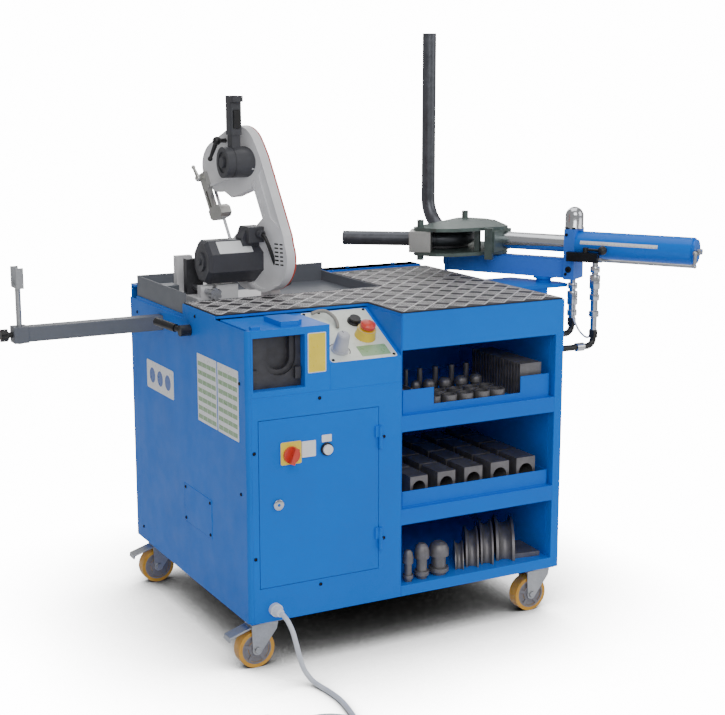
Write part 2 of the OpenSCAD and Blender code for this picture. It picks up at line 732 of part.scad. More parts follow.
// Clamp lever with its boss on the left panel
clamp_at = [tray_y - 52, cab_h - 63];
clamp_stem = 10;
module arm_clamp() color("black") cab() translate([0, clamp_at[0], clamp_at[1]]) {
    rod_x([-30, 0, 0], 30 - pass_gap, 30);
    rod_x([-pass_gap, 0, 0], pass_gap + sheet, clamp_stem);
    translate([-20, 0, 0]) rotate([-84, 0, 0]) rotate([0, -18, 0]) {
        cylinder(h = 80, d = 16);
        translate([0, 0, 30]) cylinder(h = 82, d = 22);
    }
}

module arm_fork() color("gray") cab() {
    rod_z([fork_x, arm_y, arm_z - arm_sq / 2 - 6], fork_seat - 5 - (arm_z - arm_sq / 2 - 6), fork_rod);
    w = fork_gap / 2;
    box([fork_x - 10, arm_y - w - 5, fork_seat - 5], [fork_x + 10, arm_y + w + 5, fork_seat]);
    for (y = [arm_y - w - 5, arm_y + w])
        box([fork_x - 10, y, fork_seat], [fork_x + 10, y + 5, fork_seat + prong_h]);
}

module fork_knob() color("black") cab() translate([-arm_out - arm_block, arm_y, arm_z]) {
    difference() {
        rod_x([-32, 0, 0], 20, 34);
        for (a = [0:60:300]) rotate([a, 0, 0]) rod_x([-33, 19, 0], 22, 12);
    }
    rod_x([-14, 0, 0], 14 - pass_gap, 16);
    rod_x([-14, 0, 0], 14 + arm_block / 2 - fork_rod / 2 - 1, 8);
}

module saw_tray() color("slategray") cab() {
    difference() {
        box([tray_x0, tray_y, tray_z], [tray_x, tray_y1, tray_z + tray_h]);
        box([tray_x0 + tray_sheet, tray_y + tray_sheet, base_z],
            [tray_x - tray_sheet, tray_y1 - tray_sheet, tray_z + tray_h + 1]);
        box([tray_x0 + tray_sheet, tray_y - 1, mat_z], [tray_x + 1, tray_y + tray_sheet + 1, tray_z + tray_h + 1]);
        box([tray_x - tray_sheet - 1, tray_y - 1, mat_z], [tray_x + 1, tray_y1 - tray_sheet, tray_z + tray_h + 1]);
    }
    // Bracket that carries the tube at the left wall
    difference() {
        box([tray_x0 + tray_sheet, arm_y - 26, base_z], [tray_x0 + 40, arm_y + 26, tray_z + tray_h]);
        box([tray_x0 + tray_sheet - 1, arm_y - 22, base_z - 1], [tray_x0 + 36, arm_y + 22, tray_z + tray_h - 4]);
    }
}

// The bow's own axes: across its plane along X, the plane in Y and Z, from the bow's middle
module saw() cab() translate([saw_x, saw_y, saw_z]) rotate([0, 0, saw_yaw]) children();
// The hinge's own axes: along the tube that is cut
module hinge_axes() cab() translate([saw_x, saw_y, saw_z - hinge_low]) children();
// The drum's own axes, parallel to the hinge
module drum_axes() saw() translate([0, drum_at[0], drum_at[1]]) rotate([0, 0, -saw_yaw]) children();
// Along the blade from the lower band wheel's middle, and across towards the blade
module band_axes() translate([wheel_low[0], wheel_low[1]]) rotate(-band_lean) children();
// Space behind the bow's front face, where pieces that meet the face at a slant are cut off
module behind_face() saw() box([0, -300, -300], [300, 300, 500]);
saw_post_x = 50;
saw_post_t = 30;
pin_from = 12;

module saw_base() color("gainsboro") {
    screw_x = (vise_x0 + vise_x1) / 2;
    plate_z = base_z + 8;
    cab() difference() {
        union() {
            box([vise_x0 - 10, tray_y + 10, base_z], [saw_x + 116, arm_y + 100, plate_z]);
            box([vise_x1 + 4, saw_y - 10, plate_z], [vise_x1 + 68, saw_y + 60, saw_z - hinge_low - motor_r - 2]);
            box([vise_x1 + 4, saw_y + 60, plate_z], [vise_x1 + 68, arm_y + 90, vise_z + 15]);
            box([vise_x0 - 4, saw_y - 10, plate_z], [vise_x1 + 4, arm_y + 90, vise_z]);
            box([vise_x0 + 6, saw_y - 10, vise_z], [vise_x1 - 6, saw_y + 15, screw_z + 14]);
            box([vise_x0, arm_y + 22, vise_z], [vise_x1, arm_y + 46, vise_z + jaw_h]);
        }
        rod_y([screw_x, saw_y - 20, screw_z], 40, screw_d + run_fit);
    }
    hinge_axes() {
        box([saw_post_x, -32, plate_z - saw_z + hinge_low], [saw_post_x + saw_post_t, 32, 0]);
        rod_x([saw_post_x, 0, 0], saw_post_t, 64);
        rod_x([pin_from, 0, 0], saw_post_x - pin_from, pivot_d);
    }
}

module vise_jaw() color("gray") cab() difference() {
    box([vise_x0, jaw_y - jaw_t, vise_z + pass_gap], [vise_x1, jaw_y, vise_z + jaw_h]);
    rod_y([(vise_x0 + vise_x1) / 2, jaw_y - jaw_t - 1, screw_z], jaw_t / 2 + 1, screw_d + run_fit);
}

module vise_screw() color("silver") cab() translate([(vise_x0 + vise_x1) / 2, 0, screw_z]) {
    knob_y = saw_y - 76;
    rod_y([0, knob_y + 16, 0], jaw_y - jaw_t / 2 - 0.5 - knob_y - 16, screw_d);
    difference() {
        rod_y([0, knob_y, 0], 20, 34);
        for (a = [0:60:300]) rotate([0, a, 0]) rod_y([19, knob_y - 1, 0], 22, 11);
    }
}

// Outline of the bow: upper housing with its two rounded corners, back beam and lower housing
module bow_outline() {
    translate([118, 240]) circle(r = 72);
    translate([40, 278]) circle(r = 76);
    translate([-62, 0]) circle(r = 92);
    translate([0, -10]) circle(r = 84);
    polygon([[149.5, 304.7], [73.3, 346.3], [-30, 310], [-51, 273], [-140, 65], [-154, 0], [-62, 0],
        [-30, 85], [-57, 107], [-15, 205], [-15, 185], [66, 156], [107, 175], [150, 180]]);
}

module saw_bow() color("lightgray") saw() {
    difference() {
        plate_x(0, bow_t) bow_outline();
        translate([0, 0, -hinge_low]) rotate([0, 0, -saw_yaw])
            rod_x([pin_from - pass_gap, 0, 0], 2 * bow_t, pivot_d + run_fit);
        blade_slot();
        // Sunk field and two grooves along the beam
        plate_x(-1, 4) polygon([[-58, 254], [-128, 82], [-88, 112], [-44, 222]]);
        for (off = [0, 9])
            plate_x(-1, 2) polygon([[-19 - off, 208], [-58 - off, 113], [-62 - off, 113], [-23 - off, 208]]);
    }
    // Raised ledge under the upper housing, open for the drum, and the lip of the lower one
    difference() {
        plate_x(-8, 0) polygon([[150, 182], [144, 193], [-26, 250], [-31, 239]]);
        translate([0, drum_at[0], drum_at[1]]) rotate([0, 0, -saw_yaw])
            rod_x([-60, 0, 0], 120, drum_d + 2 * pass_gap);
    }
    plate_x(-10, 0) difference() {
        translate([-62, 0]) circle(r = 92);
        translate([-62, 0]) circle(r = 84);
        translate([-200, -70]) square([400, 300]);
    }
}

// Slot in which the blade enters the two housings
module blade_slot() plate_x(blade_x - run_fit, blade_x + blade_w + run_fit) band_axes()
    translate([band_r - blade_t / 2 - run_fit, blade_from - run_fit])
        square([blade_t + 2 * run_fit, blade_to - blade_from + 2 * run_fit]);

module saw_blade() color("silver") saw() plate_x(blade_x, blade_x + blade_w) band_axes()
    translate([band_r - blade_t / 2, blade_from]) square([blade_t, blade_to - blade_from]);

module bow_cover() color("orangered") saw() difference() {
    plate_x(bow_t, bow_t + cover_t) bow_outline();
    translate([0, 0, -hinge_low]) rotate([0, 0, -saw_yaw])
        rod_x([bow_t - 20, 0, 0], 60, pivot_d + 4);
}

// Octagonal motor with a bevelled end, its end cap and the terminal box on top
end_bevel = 10;
box_h = 34;
module saw_motor() color("dimgray") difference() {
    hinge_axes() {
        rotate([0, -90, 0]) rotate(22.5) {
            translate([0, 0, -bow_t]) cylinder(h = motor_l - end_bevel + bow_t, r = motor_r, $fn = 8);
            translate([0, 0, motor_l - end_bevel])
                cylinder(h = end_bevel, r1 = motor_r, r2 = motor_r - 9, $fn = 8);
        }
        rod_x([-motor_l - 5, 0, 0], 5, motor_w * 0.45);
        rod_x([-motor_l - 9, 0, 0], 5, 18);
        plate_y(-42, 6) polygon([[-36, motor_w / 2 - 18], [30, motor_w / 2 - 18], [30, motor_w / 2 + box_h],
            [-24, motor_w / 2 + box_h], [-36, motor_w / 2 + 4]]);
        rod_y([0, -54, motor_w / 2 + box_h / 2 + 4], 14, 20);
    }
    behind_face();
}

// Rounded outline of a grip
module grip_outline(w, d, r) {
    square([w - 2 * r, d], center = true);
    square([w, d - 2 * r], center = true);
    for (x = [-1, 1], y = [-1, 1]) translate([x * (w / 2 - r), y * (d / 2 - r)]) circle(r = r);
}
grip_x = -31;
stem_z = 30;
grip_z = 74;
grip_h = 92;
trigger_z = [92, 140];

module saw_handle() color("dimgray") difference() {
    drum_axes() {
        difference() {
            rod_x([-drum_l, 0, 0], drum_l + 30, drum_d);
            rod_x([-drum_l - 1, 0, 0], 5, drum_d - 26);
            // Groove round the drum
            rotate([0, 90, 0]) rotate_extrude() translate([drum_d / 2 - 1.5, -drum_l + 22]) square([4, 3]);
        }
        rod_x([-drum_l - 4, 0, 0], 12, 30);
        difference() {
            union() {
                translate([grip_x, 0, stem_z]) linear_extrude(grip_z - stem_z + 6) grip_outline(28, 32, 6);
                translate([grip_x, 0, grip_z]) linear_extrude(grip_h) grip_outline(34, 40, 8);
                translate([grip_x, -6, grip_z + grip_h - 4]) linear_extrude(16) grip_outline(34, 54, 8);
            }
            box([grip_x - 10, -21, trigger_z[0]], [grip_x + 10, -8, trigger_z[1]]);
        }
    }
    behind_face();
}

module saw_trigger() color("firebrick") drum_axes()
    box([grip_x - 10 + pass_gap, -26, trigger_z[0] + pass_gap], [grip_x + 10 - pass_gap, -14, trigger_z[1] - pass_gap]);

// Double-ball tension lever on the bow's face
lever_at = [88, 312];
module tension_lever() color("black") saw() translate([0, lever_at[0], lever_at[1]]) {
    rod_x([-34, 0, 0], 34 - pass_gap, 12);
    translate([-32, 0, 0]) sphere(d = 24);
    translate([-32, 0, 0]) rotate([-150, 0, 0]) {
        cylinder(h = 58, d1 = 14, d2 = 9);
        translate([0, 0, 58]) sphere(d = 14);
    }
}

// Slotted rail on the bow's face with the guide block that holds the blade
rail_front = -14;
rail_at = [98, 150];
rail_w = 24;
rail_l = 132;
module guide_arm() color("silver") saw() {
    difference() {
        union() {
            plate_x(rail_front, -pass_gap) band_axes() translate(rail_at) square([rail_w, rail_l]);
            plate_x(rail_front - 4, 20) band_axes() polygon([[70, 150], [78, 142], [114, 142], [122, 150],
                [122, 172], [114, 178], [80, 178], [70, 168]]);
        }
        plate_x(blade_x - 2, 21) band_axes() translate([band_r - 2, 141]) square([4, 38]);
        plate_x(rail_front - 5, rail_front + 6) band_axes() translate([rail_at[0] + 9, rail_at[1] + 30]) square([6, 48]);
    }
    // Clamp lever of the guide
    multmatrix([[1, 0, 0, 0], [0, cos(band_lean), sin(band_lean), wheel_low[0]],
        [0, -sin(band_lean), cos(band_lean), wheel_low[1]], [0, 0, 0, 1]])
        translate([rail_front, rail_at[0] + rail_w / 2, rail_at[1] + rail_l - 14]) {
            rod_x([-14, 0, 0], 16, 12);
            translate([-14, 0, 0]) sphere(d = 20);
            translate([-14, 0, 0]) rotate([-11, 0, 0]) {
                cylinder(h = 36, d1 = 12, d2 = 8);
                translate([0, 0, 36]) sphere(d = 12);
            }
        }
}

// The bender's own axes: along the ram away from the tube, across, and up, from the ram's axis
module ram() cab() translate([swivel_x, swivel_y, ram_z]) rotate([0, 0, ram_yaw]) children();

module bender_post() color("steelblue") {
    cab() {
        near_y = swivel_y - 62;
        far_y = swivel_y + 122;
        translate([0, 0, bracket_z - 10]) linear_extrude(10) polygon([[cab_w, near_y],
            [swivel_x + 42, near_y], [swivel_x + 42, near_y + 38], [swivel_x - 34, far_y],
            [cab_w, far_y]]);
        box([cab_w, near_y, bracket_z - 170], [cab_w + 10, far_y, bracket_z - 10]);
        difference() {
            box([cab_w + 10, near_y + 8, bracket_z - 120], [swivel_x - 23, far_y - 24, bracket_z - 10]);
            box([cab_w + 9, near_y + 14, bracket_z - 121], [swivel_x - 29, far_y - 30, bracket_z - 16]);
        }
    }
    ram() {
        rod_z([0, 0, -ram_up], ram_up + beam_low - 6 - pass_gap, 44);
        rod_z([0, 0, beam_low - 6 - pass_gap], 6, 60);
        rod_z([0, 0, -ram_up], ram_up + beam_low + 36, swivel_d);
    }
}

module swivel_beam() color("cornflowerblue") ram() {
    difference() {
        union() {
            box([beam_s0, -beam_w / 2, beam_low], [flange_s0, beam_w / 2, beam_top]);
            box([beam_s0 - 8, -beam_w / 2 - 4, beam_low - 2], [beam_s0, beam_w / 2 + 4, beam_top]);
            box([flange_s0, -39, beam_low - 2], [flange_s1, 39, 46]);
            // Valve block in front of the barrel
            box([flange_s1 - 14, -valve_out, valve_low], [flange_s1 + valve_l, -41, valve_top]);
            box([flange_s1 - 14, -42, valve_low], [flange_s1, -38, valve_top]);
        }
        rod_z([stop_at[0], stop_at[1], valve_top - 9], 10, stop_stem + run_fit);
        rod_z([0, 0, beam_low - 1], 38, swivel_d + run_fit);
        rod_x([flange_s0 - 1, 0, 0], flange_t + 2, rod_d + run_fit);
    }
    // Round bolt on the beam's end
    rod_x([beam_s0 - 20, 0, beam_low + beam_h / 2], 12, 30);
    // Guide rail
    box([-250, -15, beam_top], [flange_s0, 15, beam_top + rail_t]);
}

dome_d = 52;
pipe_d = 9;
module barrel() {
    color("dodgerblue") ram() {
        difference() {
            rod_x([flange_s1, 0, 0], barrel_l, barrel_d);
            rod_x([flange_s1 - 1, 0, 0], barrel_l - 11, barrel_bore);
        }
        rod_x([flange_s1 + barrel_l, 0, 0], 8, barrel_d - 10);
    }
    color("silver") ram() {
        translate([flange_s0 + flange_t / 2, 0, 46]) {
            rod_z([0, 0, 0], 36, dome_d);
            translate([0, 0, 36]) sphere(d = dome_d);
        }
        pipe_end = flange_s1 + barrel_l + 16;
        pipe_t = -47;
        pipe_z = -36;
        rod_x([flange_s1 + valve_l, pipe_t, pipe_z], pipe_end - flange_s1 - valve_l, pipe_d);
        translate([pipe_end, pipe_t, pipe_z]) sphere(d = pipe_d + 2);
        rod_z([pipe_end, pipe_t, pipe_z], -pipe_z, pipe_d);
        translate([pipe_end, pipe_t, 0]) sphere(d = pipe_d + 4);
        rod_y([pipe_end, pipe_t, 0], -pipe_t, pipe_d);
        rod_x([flange_s1 + barrel_l + 8, 0, 0], 14, 16);
    }
}

rod_end = -125;
module ram_rod() color("silver") ram() {
    rod_x([rod_end, 0, 0], flange_s1 + 23 - rod_end, rod_d);
    rod_x([flange_s1 + 23, 0, 0], 20, barrel_bore - run_fit);
}

// Outline of a wing plate: straight edge with two tips, narrowing to the rod
module wing_outline() polygon([[-352, -152], [-336, -172], [-268, -172], [-222, -146],
    [-140, -40], [-122, -14], [-122, 14], [-140, 40], [-222, 146], [-268, 172], [-336, 172],
    [-352, 152]]);

module carriage() color("darkslategray") ram() {
    translate([0, 0, wing_in]) linear_extrude(wing_t) wing_outline();
    translate([0, 0, -wing_out]) linear_extrude(wing_t) difference() {
        wing_outline();
        translate([-400, -beam_w / 2 - 2]) square([142, beam_w + 4]);
    }
    difference() {
        box([-158, -78, -wing_in], [rod_end, 46, wing_in]);
        box([-159, -60, -wing_in + 12], [-140, 34, wing_in - 12]);
    }
    box([-154, -84, -wing_out - 10], [-130, -72, wing_out]);
    for (y = [-64, 52]) box([-196, y, -wing_in], [-180, y + 12, wing_in]);
    for (s = [-1, 1]) {
        translate([pin_s, s * pin_t, -wing_out - 14]) cylinder(h = 2 * wing_out + 36, d = pin_d);
    }
}

module counter_die(s) color("gainsboro") ram() translate([pin_s, s * pin_t, 0])
    rotate([0, 0, -s * leg_angle]) difference() {
        h = wing_in - pass_gap;
        box([s > 0 ? -24 : -32, s > 0 ? -die_reach + 3 : -24, -h], [32, s > 0 ? 24 : die_reach - 3, h]);
        rod_x([-33, -s * die_reach, 0], 66, groove_d);
        rod_z([0, 0, -h - 1], 2 * h + 2, pin_d + run_fit);
    }
module die_front() counter_die(-1);
module die_rear() counter_die(1);

module former() color("slategray") ram() {
    difference() {
        intersection() {
            rod_z([former_s, 0, -28], 56, 2 * bend_r);
            box([former_s - 30, -bend_r, -28], [former_s + bend_r, bend_r, 28]);
        }
        translate([former_s, 0, 0]) rotate_extrude() translate([bend_r, 0]) circle(d = tube_d);
    }
    box([beam_s0, -24, beam_top], [beam_s0 + 40, 24, -28]);
}

module ring_2d() difference() {
    circle(d = tube_d);
    circle(d = tube_d - 2 * tube_wall);
}

// Bent tube: front leg, bend round the former, short rear leg, rise and upright leg
module work_tube() color("dimgray") ram() {
    translate([former_s, 0, 0]) rotate(leg_angle - 90) rotate_extrude(angle = 180 - 2 * leg_angle)
        translate([bend_r, 0]) ring_2d();
    translate([tangent[0], -tangent[1], 0]) rotate([0, -90, leg_angle]) linear_extrude(leg_l) ring_2d();
    translate([tangent[0], tangent[1], 0]) rotate([0, 0, -leg_angle]) {
        rotate([0, -90, 0]) linear_extrude(rear_leg) ring_2d();
        translate([-rear_leg, 0, rise_r]) rotate([-90, 0, 0]) rotate([0, 0, 90])
            rotate_extrude(angle = 90) translate([rise_r, 0]) ring_2d();
        translate([-rear_leg - rise_r, 0, rise_r]) linear_extrude(upright_l) ring_2d();
    }
}

valve_l = 78;
valve_out = 64;
valve_top = -16;
valve_low = -42;
stop_at = [flange_s1 + 40, -53];
stop_stem = 8;
stop_l = 50;
module stop_lever() color("black") ram() translate([stop_at[0], stop_at[1], valve_top]) {
    rod_z([0, 0, pass_gap], 14, 16);
    rod_z([0, 0, -8], 12, stop_stem);
    rod_x([0, 0, 9], stop_l - 6, 8);
    translate([stop_l, 0, 9]) sphere(d = 26);
}

// Quick couplers that hang from the bender and turn into the cabinet's right side
hose_d = 18;
function ram_place(s, t) = [swivel_x + s * cos(ram_yaw) - t * sin(ram_yaw),
    swivel_y + s * sin(ram_yaw) + t * cos(ram_yaw)];
hose_1 = concat(ram_place(flange_s0 + flange_t / 2, 0), [bracket_z - 146]);
hose_2 = concat(ram_place(flange_s1 + 67, -44), [bracket_z - 168]);
module coupler(hose, top) {
    low = hose[2];
    rod_z([hose[0], hose[1], low], top - low, 16);
    rod_z([hose[0], hose[1], top - 60], 40, 30);
    rod_z([hose[0], hose[1], top - 100], 36, 24);
    rod_z([hose[0], hose[1], low + 20], 26, 28);
    translate([hose[0], hose[1], low]) sphere(d = hose_d + 4);
    rod_x([cab_w - sheet, hose[1], low], hose[0] - cab_w + sheet, hose_d);
    rod_x([hose[0] - 44, hose[1], low], 30, 24);
}
module hoses() color("silver") cab() {
    coupler(hose_1, ram_z + beam_low - 2);
    coupler(hose_2, ram_z + valve_low);
}

// Tools on the shelves
module ring_tool(p, d, h) translate(p) difference() {
    cylinder(h = h, d = d);
    translate([0, 0, h / 3]) cylinder(h = h, d = d * 0.7);
}
// Pin with a collar and a domed head
module domed_pin(p, d, h) translate(p) {
    cylinder(h = h * 0.7, d = d * 0.72);
    translate([0, 0, h * 0.1]) cylinder(h = h * 0.12, d = d);
    translate([0, 0, h * 0.58]) cylinder(h = h * 0.2, d = d);
    translate([0, 0, h * 0.78]) cylinder(h = h * 0.14, d1 = d, d2 = d * 0.8);
    translate([0, 0, h * 0.92]) cylinder(h = h * 0.08, d1 = d * 0.8, d2 = d * 0.45);
}
// Block with a round tunnel whose arch shows above the tray's wall
module arch_block(p, w, d, h) translate(p) difference() {
    translate([-w / 2, 0, 0]) cube([w, d, tray_mid + h]);
    translate([0, -1, tray_mid - 2]) rotate([-90, 0, 0]) cylinder(h = d + 2, d = w * 0.72);
}
module groove_block(p, w, d, h) translate(p) difference() {
    cube([w, d, h]);
    translate([w / 2, -1, h]) rotate([-90, 0, 0]) cylinder(h = d + 2, d = w * 0.6);
}
// Half a grooved disc that stands on its flat side, its front near the bay's opening
module half_former(x, r, w) translate([x, former_front, sill_h]) rotate([0, 0, -former_turn])
    translate([-w / 2, r, 0]) difference() {
        rotate([0, 90, 0]) difference() {
            cylinder(h = w, r = r);
            translate([0, -r - 1, -1]) cube([r + 1, 2 * r + 2, w + 2]);
        }
        translate([w / 2, 0, 0]) rotate([0, 90, 0]) rotate_extrude() translate([r, 0]) circle(r = w * 0.36);
    }
former_front = 35;
former_turn = 28;
set_w = 465;
row_pitch = 97;
cup_h = 32;
pin_h = 52;
thin_h = 74;
plate_pitch = 14;
plate_h = 94;

module tool_set() color("darkgray") cab() {
    // The tools' widths and places follow the trays' width
    k = (tray_in_x1 - tray_in_x0) / set_w;
    top_z = shelf_2 + tray_wall;
    mid_z = shelf_1 + tray_wall;
    left_x = tray_in_x0 + tray_wall;
    front_y = tray_in_y0 + tray_wall;
    for (i = [0:1], j = [0:2]) groove_block([left_x + (8 + 42 * i) * k, front_y + 23 + 70 * j, top_z], 34 * k, 50, 42);
    for (cup = [[114, 30], [157, 43], [207, 46], [260, 46], [308, 46]]) {
        for (j = [0, 1]) ring_tool([left_x + cup[0] * k, front_y + 26 + 54 * j, top_z], cup[1] * k, cup_h);
        domed_pin([left_x + cup[0] * k, front_y + 132, top_z], cup[1] * k * 0.8, pin_h);
        rod_z([left_x + cup[0] * k, front_y + 182, top_z], thin_h, cup[1] * k * 0.36);
    }
    for (i = [0:17])
        translate([left_x + 376 * k, front_y + 13 + plate_pitch * i, top_z])
            cube([70 * k, plate_pitch / 2, plate_h]);
    for (i = [0:4], j = [0:3])
        arch_block([left_x + (58 + 86 * i) * k, front_y + 13 + row_pitch * j, mid_z],
            (54 + 2 * i) * k, 86, 30 + 2 * i);
    // Bollards, grooved half discs and a fan plate on the bottom
    for (pin = [[36, 29, 88], [82, 41, 98], [140, 56, 92]])
        domed_pin([left_w + pin[0] * k, 12 + pin[1] / 2, sill_h], pin[1] * k, pin[2]);
    for (disc = [[205, 62, 24], [247, 88, 36], [296, 97, 36], [357, 98, 52]])
        half_former(left_w + disc[0] * k, disc[1] * k, disc[2] * k);
    translate([left_w + 384 * k, former_front, sill_h]) linear_extrude(14)
        polygon([[6 * k, 6], [84 * k, -5], [90 * k, 105], [62 * k, 105]]);
}

module mains_gland() color("whitesmoke") cab() difference() {
    union() {
        rod_y([gland_at[0], -14, gland_at[1]], 14, 34);
        translate([gland_at[0], -14, gland_at[1]]) rotate([90, 0, 0])
            cylinder(h = gland_l - 14, d1 = 30, d2 = 20);
        rod_y([gland_at[0], 0, gland_at[1]], sheet + 8, lead_d + 5);
    }
    rod_y([gland_at[0], -gland_l + 6, gland_at[1]], gland_l + sheet + 8, lead_d - 3);
}

module mains_cord() color("white") cab() tube_along(smooth(lead_route, 4), lead_d, 10, [1, 0, 0]);

module cord_coil() color("white") cab() tube_along(coil_points, lead_d, 6, [0, 0, 1]);

// Plug at the coil's outer end, lying on the floor
plug_d = 2 * (layer_h + lead_d / 2);
plug_l = 54;
module mains_plug() color("dimgray") cab() translate(coil_end) rotate([0, 0, 90]) {
    rod_x([0, 0, 0], 20, lead_d + 5);
    rod_x([18, 0, 0], plug_l, plug_d);
    for (y = [-9, 9], z = [-7, 7]) rod_x([18 + plug_l, y, z], 17, 5);
}

echo(str("least gap between coil loops ", least_gap(coil_points, 12, lead_d), " mm"));

cabinet_shell();
left_panel();
front_panel();
shelf_unit();
top_plate();
rubber_mat();
panel_screws();
power_unit();
head_block();
head_die();
console();
start_button();
estop_button();
pressure_knob();
door();
switch_knob();
reset_button();
castor_plates();
fork_front_left();
fork_front_right();
fork_back_left();
fork_back_right();
wheel_front_left();
wheel_front_right();
wheel_back_left();
wheel_back_right();
pedal_front_left();
pedal_back_left();
arm_tube();
arm_clamp();
arm_fork();
fork_knob();
saw_tray();
saw_base();
vise_jaw();
vise_screw();
saw_bow();
bow_cover();
saw_motor();
saw_handle();
saw_trigger();
tension_lever();
guide_arm();
saw_blade();
bender_post();
swivel_beam();
barrel();
ram_rod();
carriage();
die_front();
die_rear();
former();
work_tube();
stop_lever();
hoses();
tool_set();
mains_gland();
mains_cord();
cord_coil();
mains_plug();
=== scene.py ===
import math

import bmesh
import bpy
from mathutils import Matrix, Vector


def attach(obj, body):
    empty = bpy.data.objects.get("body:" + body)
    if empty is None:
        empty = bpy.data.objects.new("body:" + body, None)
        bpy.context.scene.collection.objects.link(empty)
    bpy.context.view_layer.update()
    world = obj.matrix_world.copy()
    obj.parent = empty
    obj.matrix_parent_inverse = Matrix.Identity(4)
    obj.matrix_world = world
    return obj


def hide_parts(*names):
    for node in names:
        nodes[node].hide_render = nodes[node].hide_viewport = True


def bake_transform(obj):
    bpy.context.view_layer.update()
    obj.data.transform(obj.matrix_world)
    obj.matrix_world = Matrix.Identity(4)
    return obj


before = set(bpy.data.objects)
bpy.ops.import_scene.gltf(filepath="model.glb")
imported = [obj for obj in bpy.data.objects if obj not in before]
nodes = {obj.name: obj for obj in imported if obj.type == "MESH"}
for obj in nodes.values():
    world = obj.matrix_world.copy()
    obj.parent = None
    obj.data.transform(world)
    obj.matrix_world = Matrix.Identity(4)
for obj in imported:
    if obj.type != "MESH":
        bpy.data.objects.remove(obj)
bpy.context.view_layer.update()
scene = bpy.context.scene
print("frame loaded:", len(nodes), "nodes")


# Places are written in millimetres from the cabinet's front left bottom corner,
# or from the saw's pivot, the ram's axis or the console's sloped face
cabinet = {"width": 950, "depth": 840, "floorGap": 130, "headDepth": 190, "headTop": 757, "consoleFront": 657}
saw = {"pivot": (213.6, 460, 877), "hinge": (213.6, 460, 869), "yaw": 18}
bender = {"swivel": (1080, 286, 884), "yaw": -57}


def turned(degrees, axis):
    return Matrix.Rotation(math.radians(degrees), 4, axis)


cabFrame = Matrix.Scale(0.001, 4) @ Matrix.Translation(
    (-cabinet["width"] / 2, -cabinet["depth"] / 2, cabinet["floorGap"]))
sawFrame = cabFrame @ Matrix.Translation(saw["pivot"]) @ turned(saw["yaw"], "Z")
ramFrame = cabFrame @ Matrix.Translation(bender["swivel"]) @ turned(bender["yaw"], "Z")
slopeAngle = math.degrees(math.atan2(cabinet["headTop"] - cabinet["consoleFront"], cabinet["headDepth"]))
slopeFrame = cabFrame @ Matrix.Translation((0, 0, cabinet["consoleFront"])) @ turned(slopeAngle, "X")
frontFrame = cabFrame @ turned(90, "X")      # X across, Y up, Z out of the front
leftFrame = cabFrame @ turned(-90, "Z") @ turned(90, "X")      # X towards the front, Y up, Z out


def srgb(red, green, blue):
    def line(v):
        v = v / 255
        return v / 12.92 if v <= 0.04045 else ((v + 0.055) / 1.055) ** 2.4
    return (line(red), line(green), line(blue), 1.0)


def tint(colour, amount):
    return tuple(min(c * amount, 1.0) for c in colour[:3]) + (1.0,)


# A socket that takes part in products
class Value:
    def __init__(self, finish, socket):
        self.finish = finish
        self.socket = socket

    def __mul__(self, other):
        return self.finish.node("ShaderNodeMath", {"operation": "MULTIPLY"}, {0: self, 1: other})

    __rmul__ = __mul__


# One material with its principled shader, worked on in Object coordinates
class Finish:
    def __init__(self, name):
        self.material = bpy.data.materials.new(name)
        self.material.use_nodes = True
        self.tree = self.material.node_tree
        self.tree.nodes.clear()
        self.shader = self.tree.nodes.new("ShaderNodeBsdfPrincipled")
        out = self.tree.nodes.new("ShaderNodeOutputMaterial")
        self.tree.links.new(self.shader.outputs[0], out.inputs[0])
        self.place = self.node("ShaderNodeTexCoord", out="Object")

    def node(self, kind, settings=None, sockets=None, out=0):
        made = self.tree.nodes.new(kind)
        for name, value in (settings or {}).items():
            setattr(made, name, value)
        self.fill(made, sockets or {})
        return Value(self, made.outputs[out])

    def fill(self, made, sockets):
        for name, value in sockets.items():
            if isinstance(value, Value):
                self.tree.links.new(value.socket, made.inputs[name])
            else:
                made.inputs[name].default_value = value

    def noise(self, scale, detail=3.0, rough=0.55, stretch=(1, 1, 1), turn=(0, 0, 0)):
        angles = tuple(math.radians(a) for a in turn)
        where = self.node("ShaderNodeMapping", {},
                          {"Vector": self.place, "Rotation": angles, "Scale": stretch})
        return self.node("ShaderNodeTexNoise", {},
                         {"Vector": where, "Scale": scale, "Detail": detail, "Roughness": rough})

    def cells(self, scale):
        return self.node("ShaderNodeTexVoronoi", {}, {"Vector": self.place, "Scale": scale})

    def ramp(self, value, low, high, first=0.0, last=1.0):
        return self.node("ShaderNodeMapRange", {"clamp": True},
                         {"Value": value, "From Min": low, "From Max": high, "To Min": first, "To Max": last})

    def mix(self, factor, a, b):
        return self.node("ShaderNodeMix", {"data_type": "RGBA"}, {0: factor, 6: a, 7: b}, out=2)

    def bump(self, height, strength, distance):
        return self.node("ShaderNodeBump", {}, {"Height": height, "Strength": strength, "Distance": distance})

    def give(self, **sockets):
        self.fill(self.shader, {name.replace("_", " "): value for name, value in sockets.items()})
        return self.material


def powderCoat(name, colour, rough=0.42, peel=0.05, coat=0.25):
    f = Finish(name)
    f.shader.inputs["Specular IOR Level"].default_value = 0.2
    broad = f.ramp(f.noise(2.6, 4.0), 0.3, 0.7)
    speck = f.ramp(f.noise(420.0, 1.0), 0.3, 0.7)
    base = f.mix(broad, tint(colour, 0.92), tint(colour, 1.06))
    f.shader.inputs["Coat Roughness"].default_value = 0.12
    return f.give(Base_Color=f.mix(speck * 0.12, base, tint(colour, 1.35)),
                  Roughness=f.ramp(f.noise(14.0, 3.0), 0.3, 0.7, rough - 0.05, rough + 0.07),
                  Coat_Weight=coat,
                  Normal=f.bump(f.noise(520.0, 2.0), peel, 0.002))


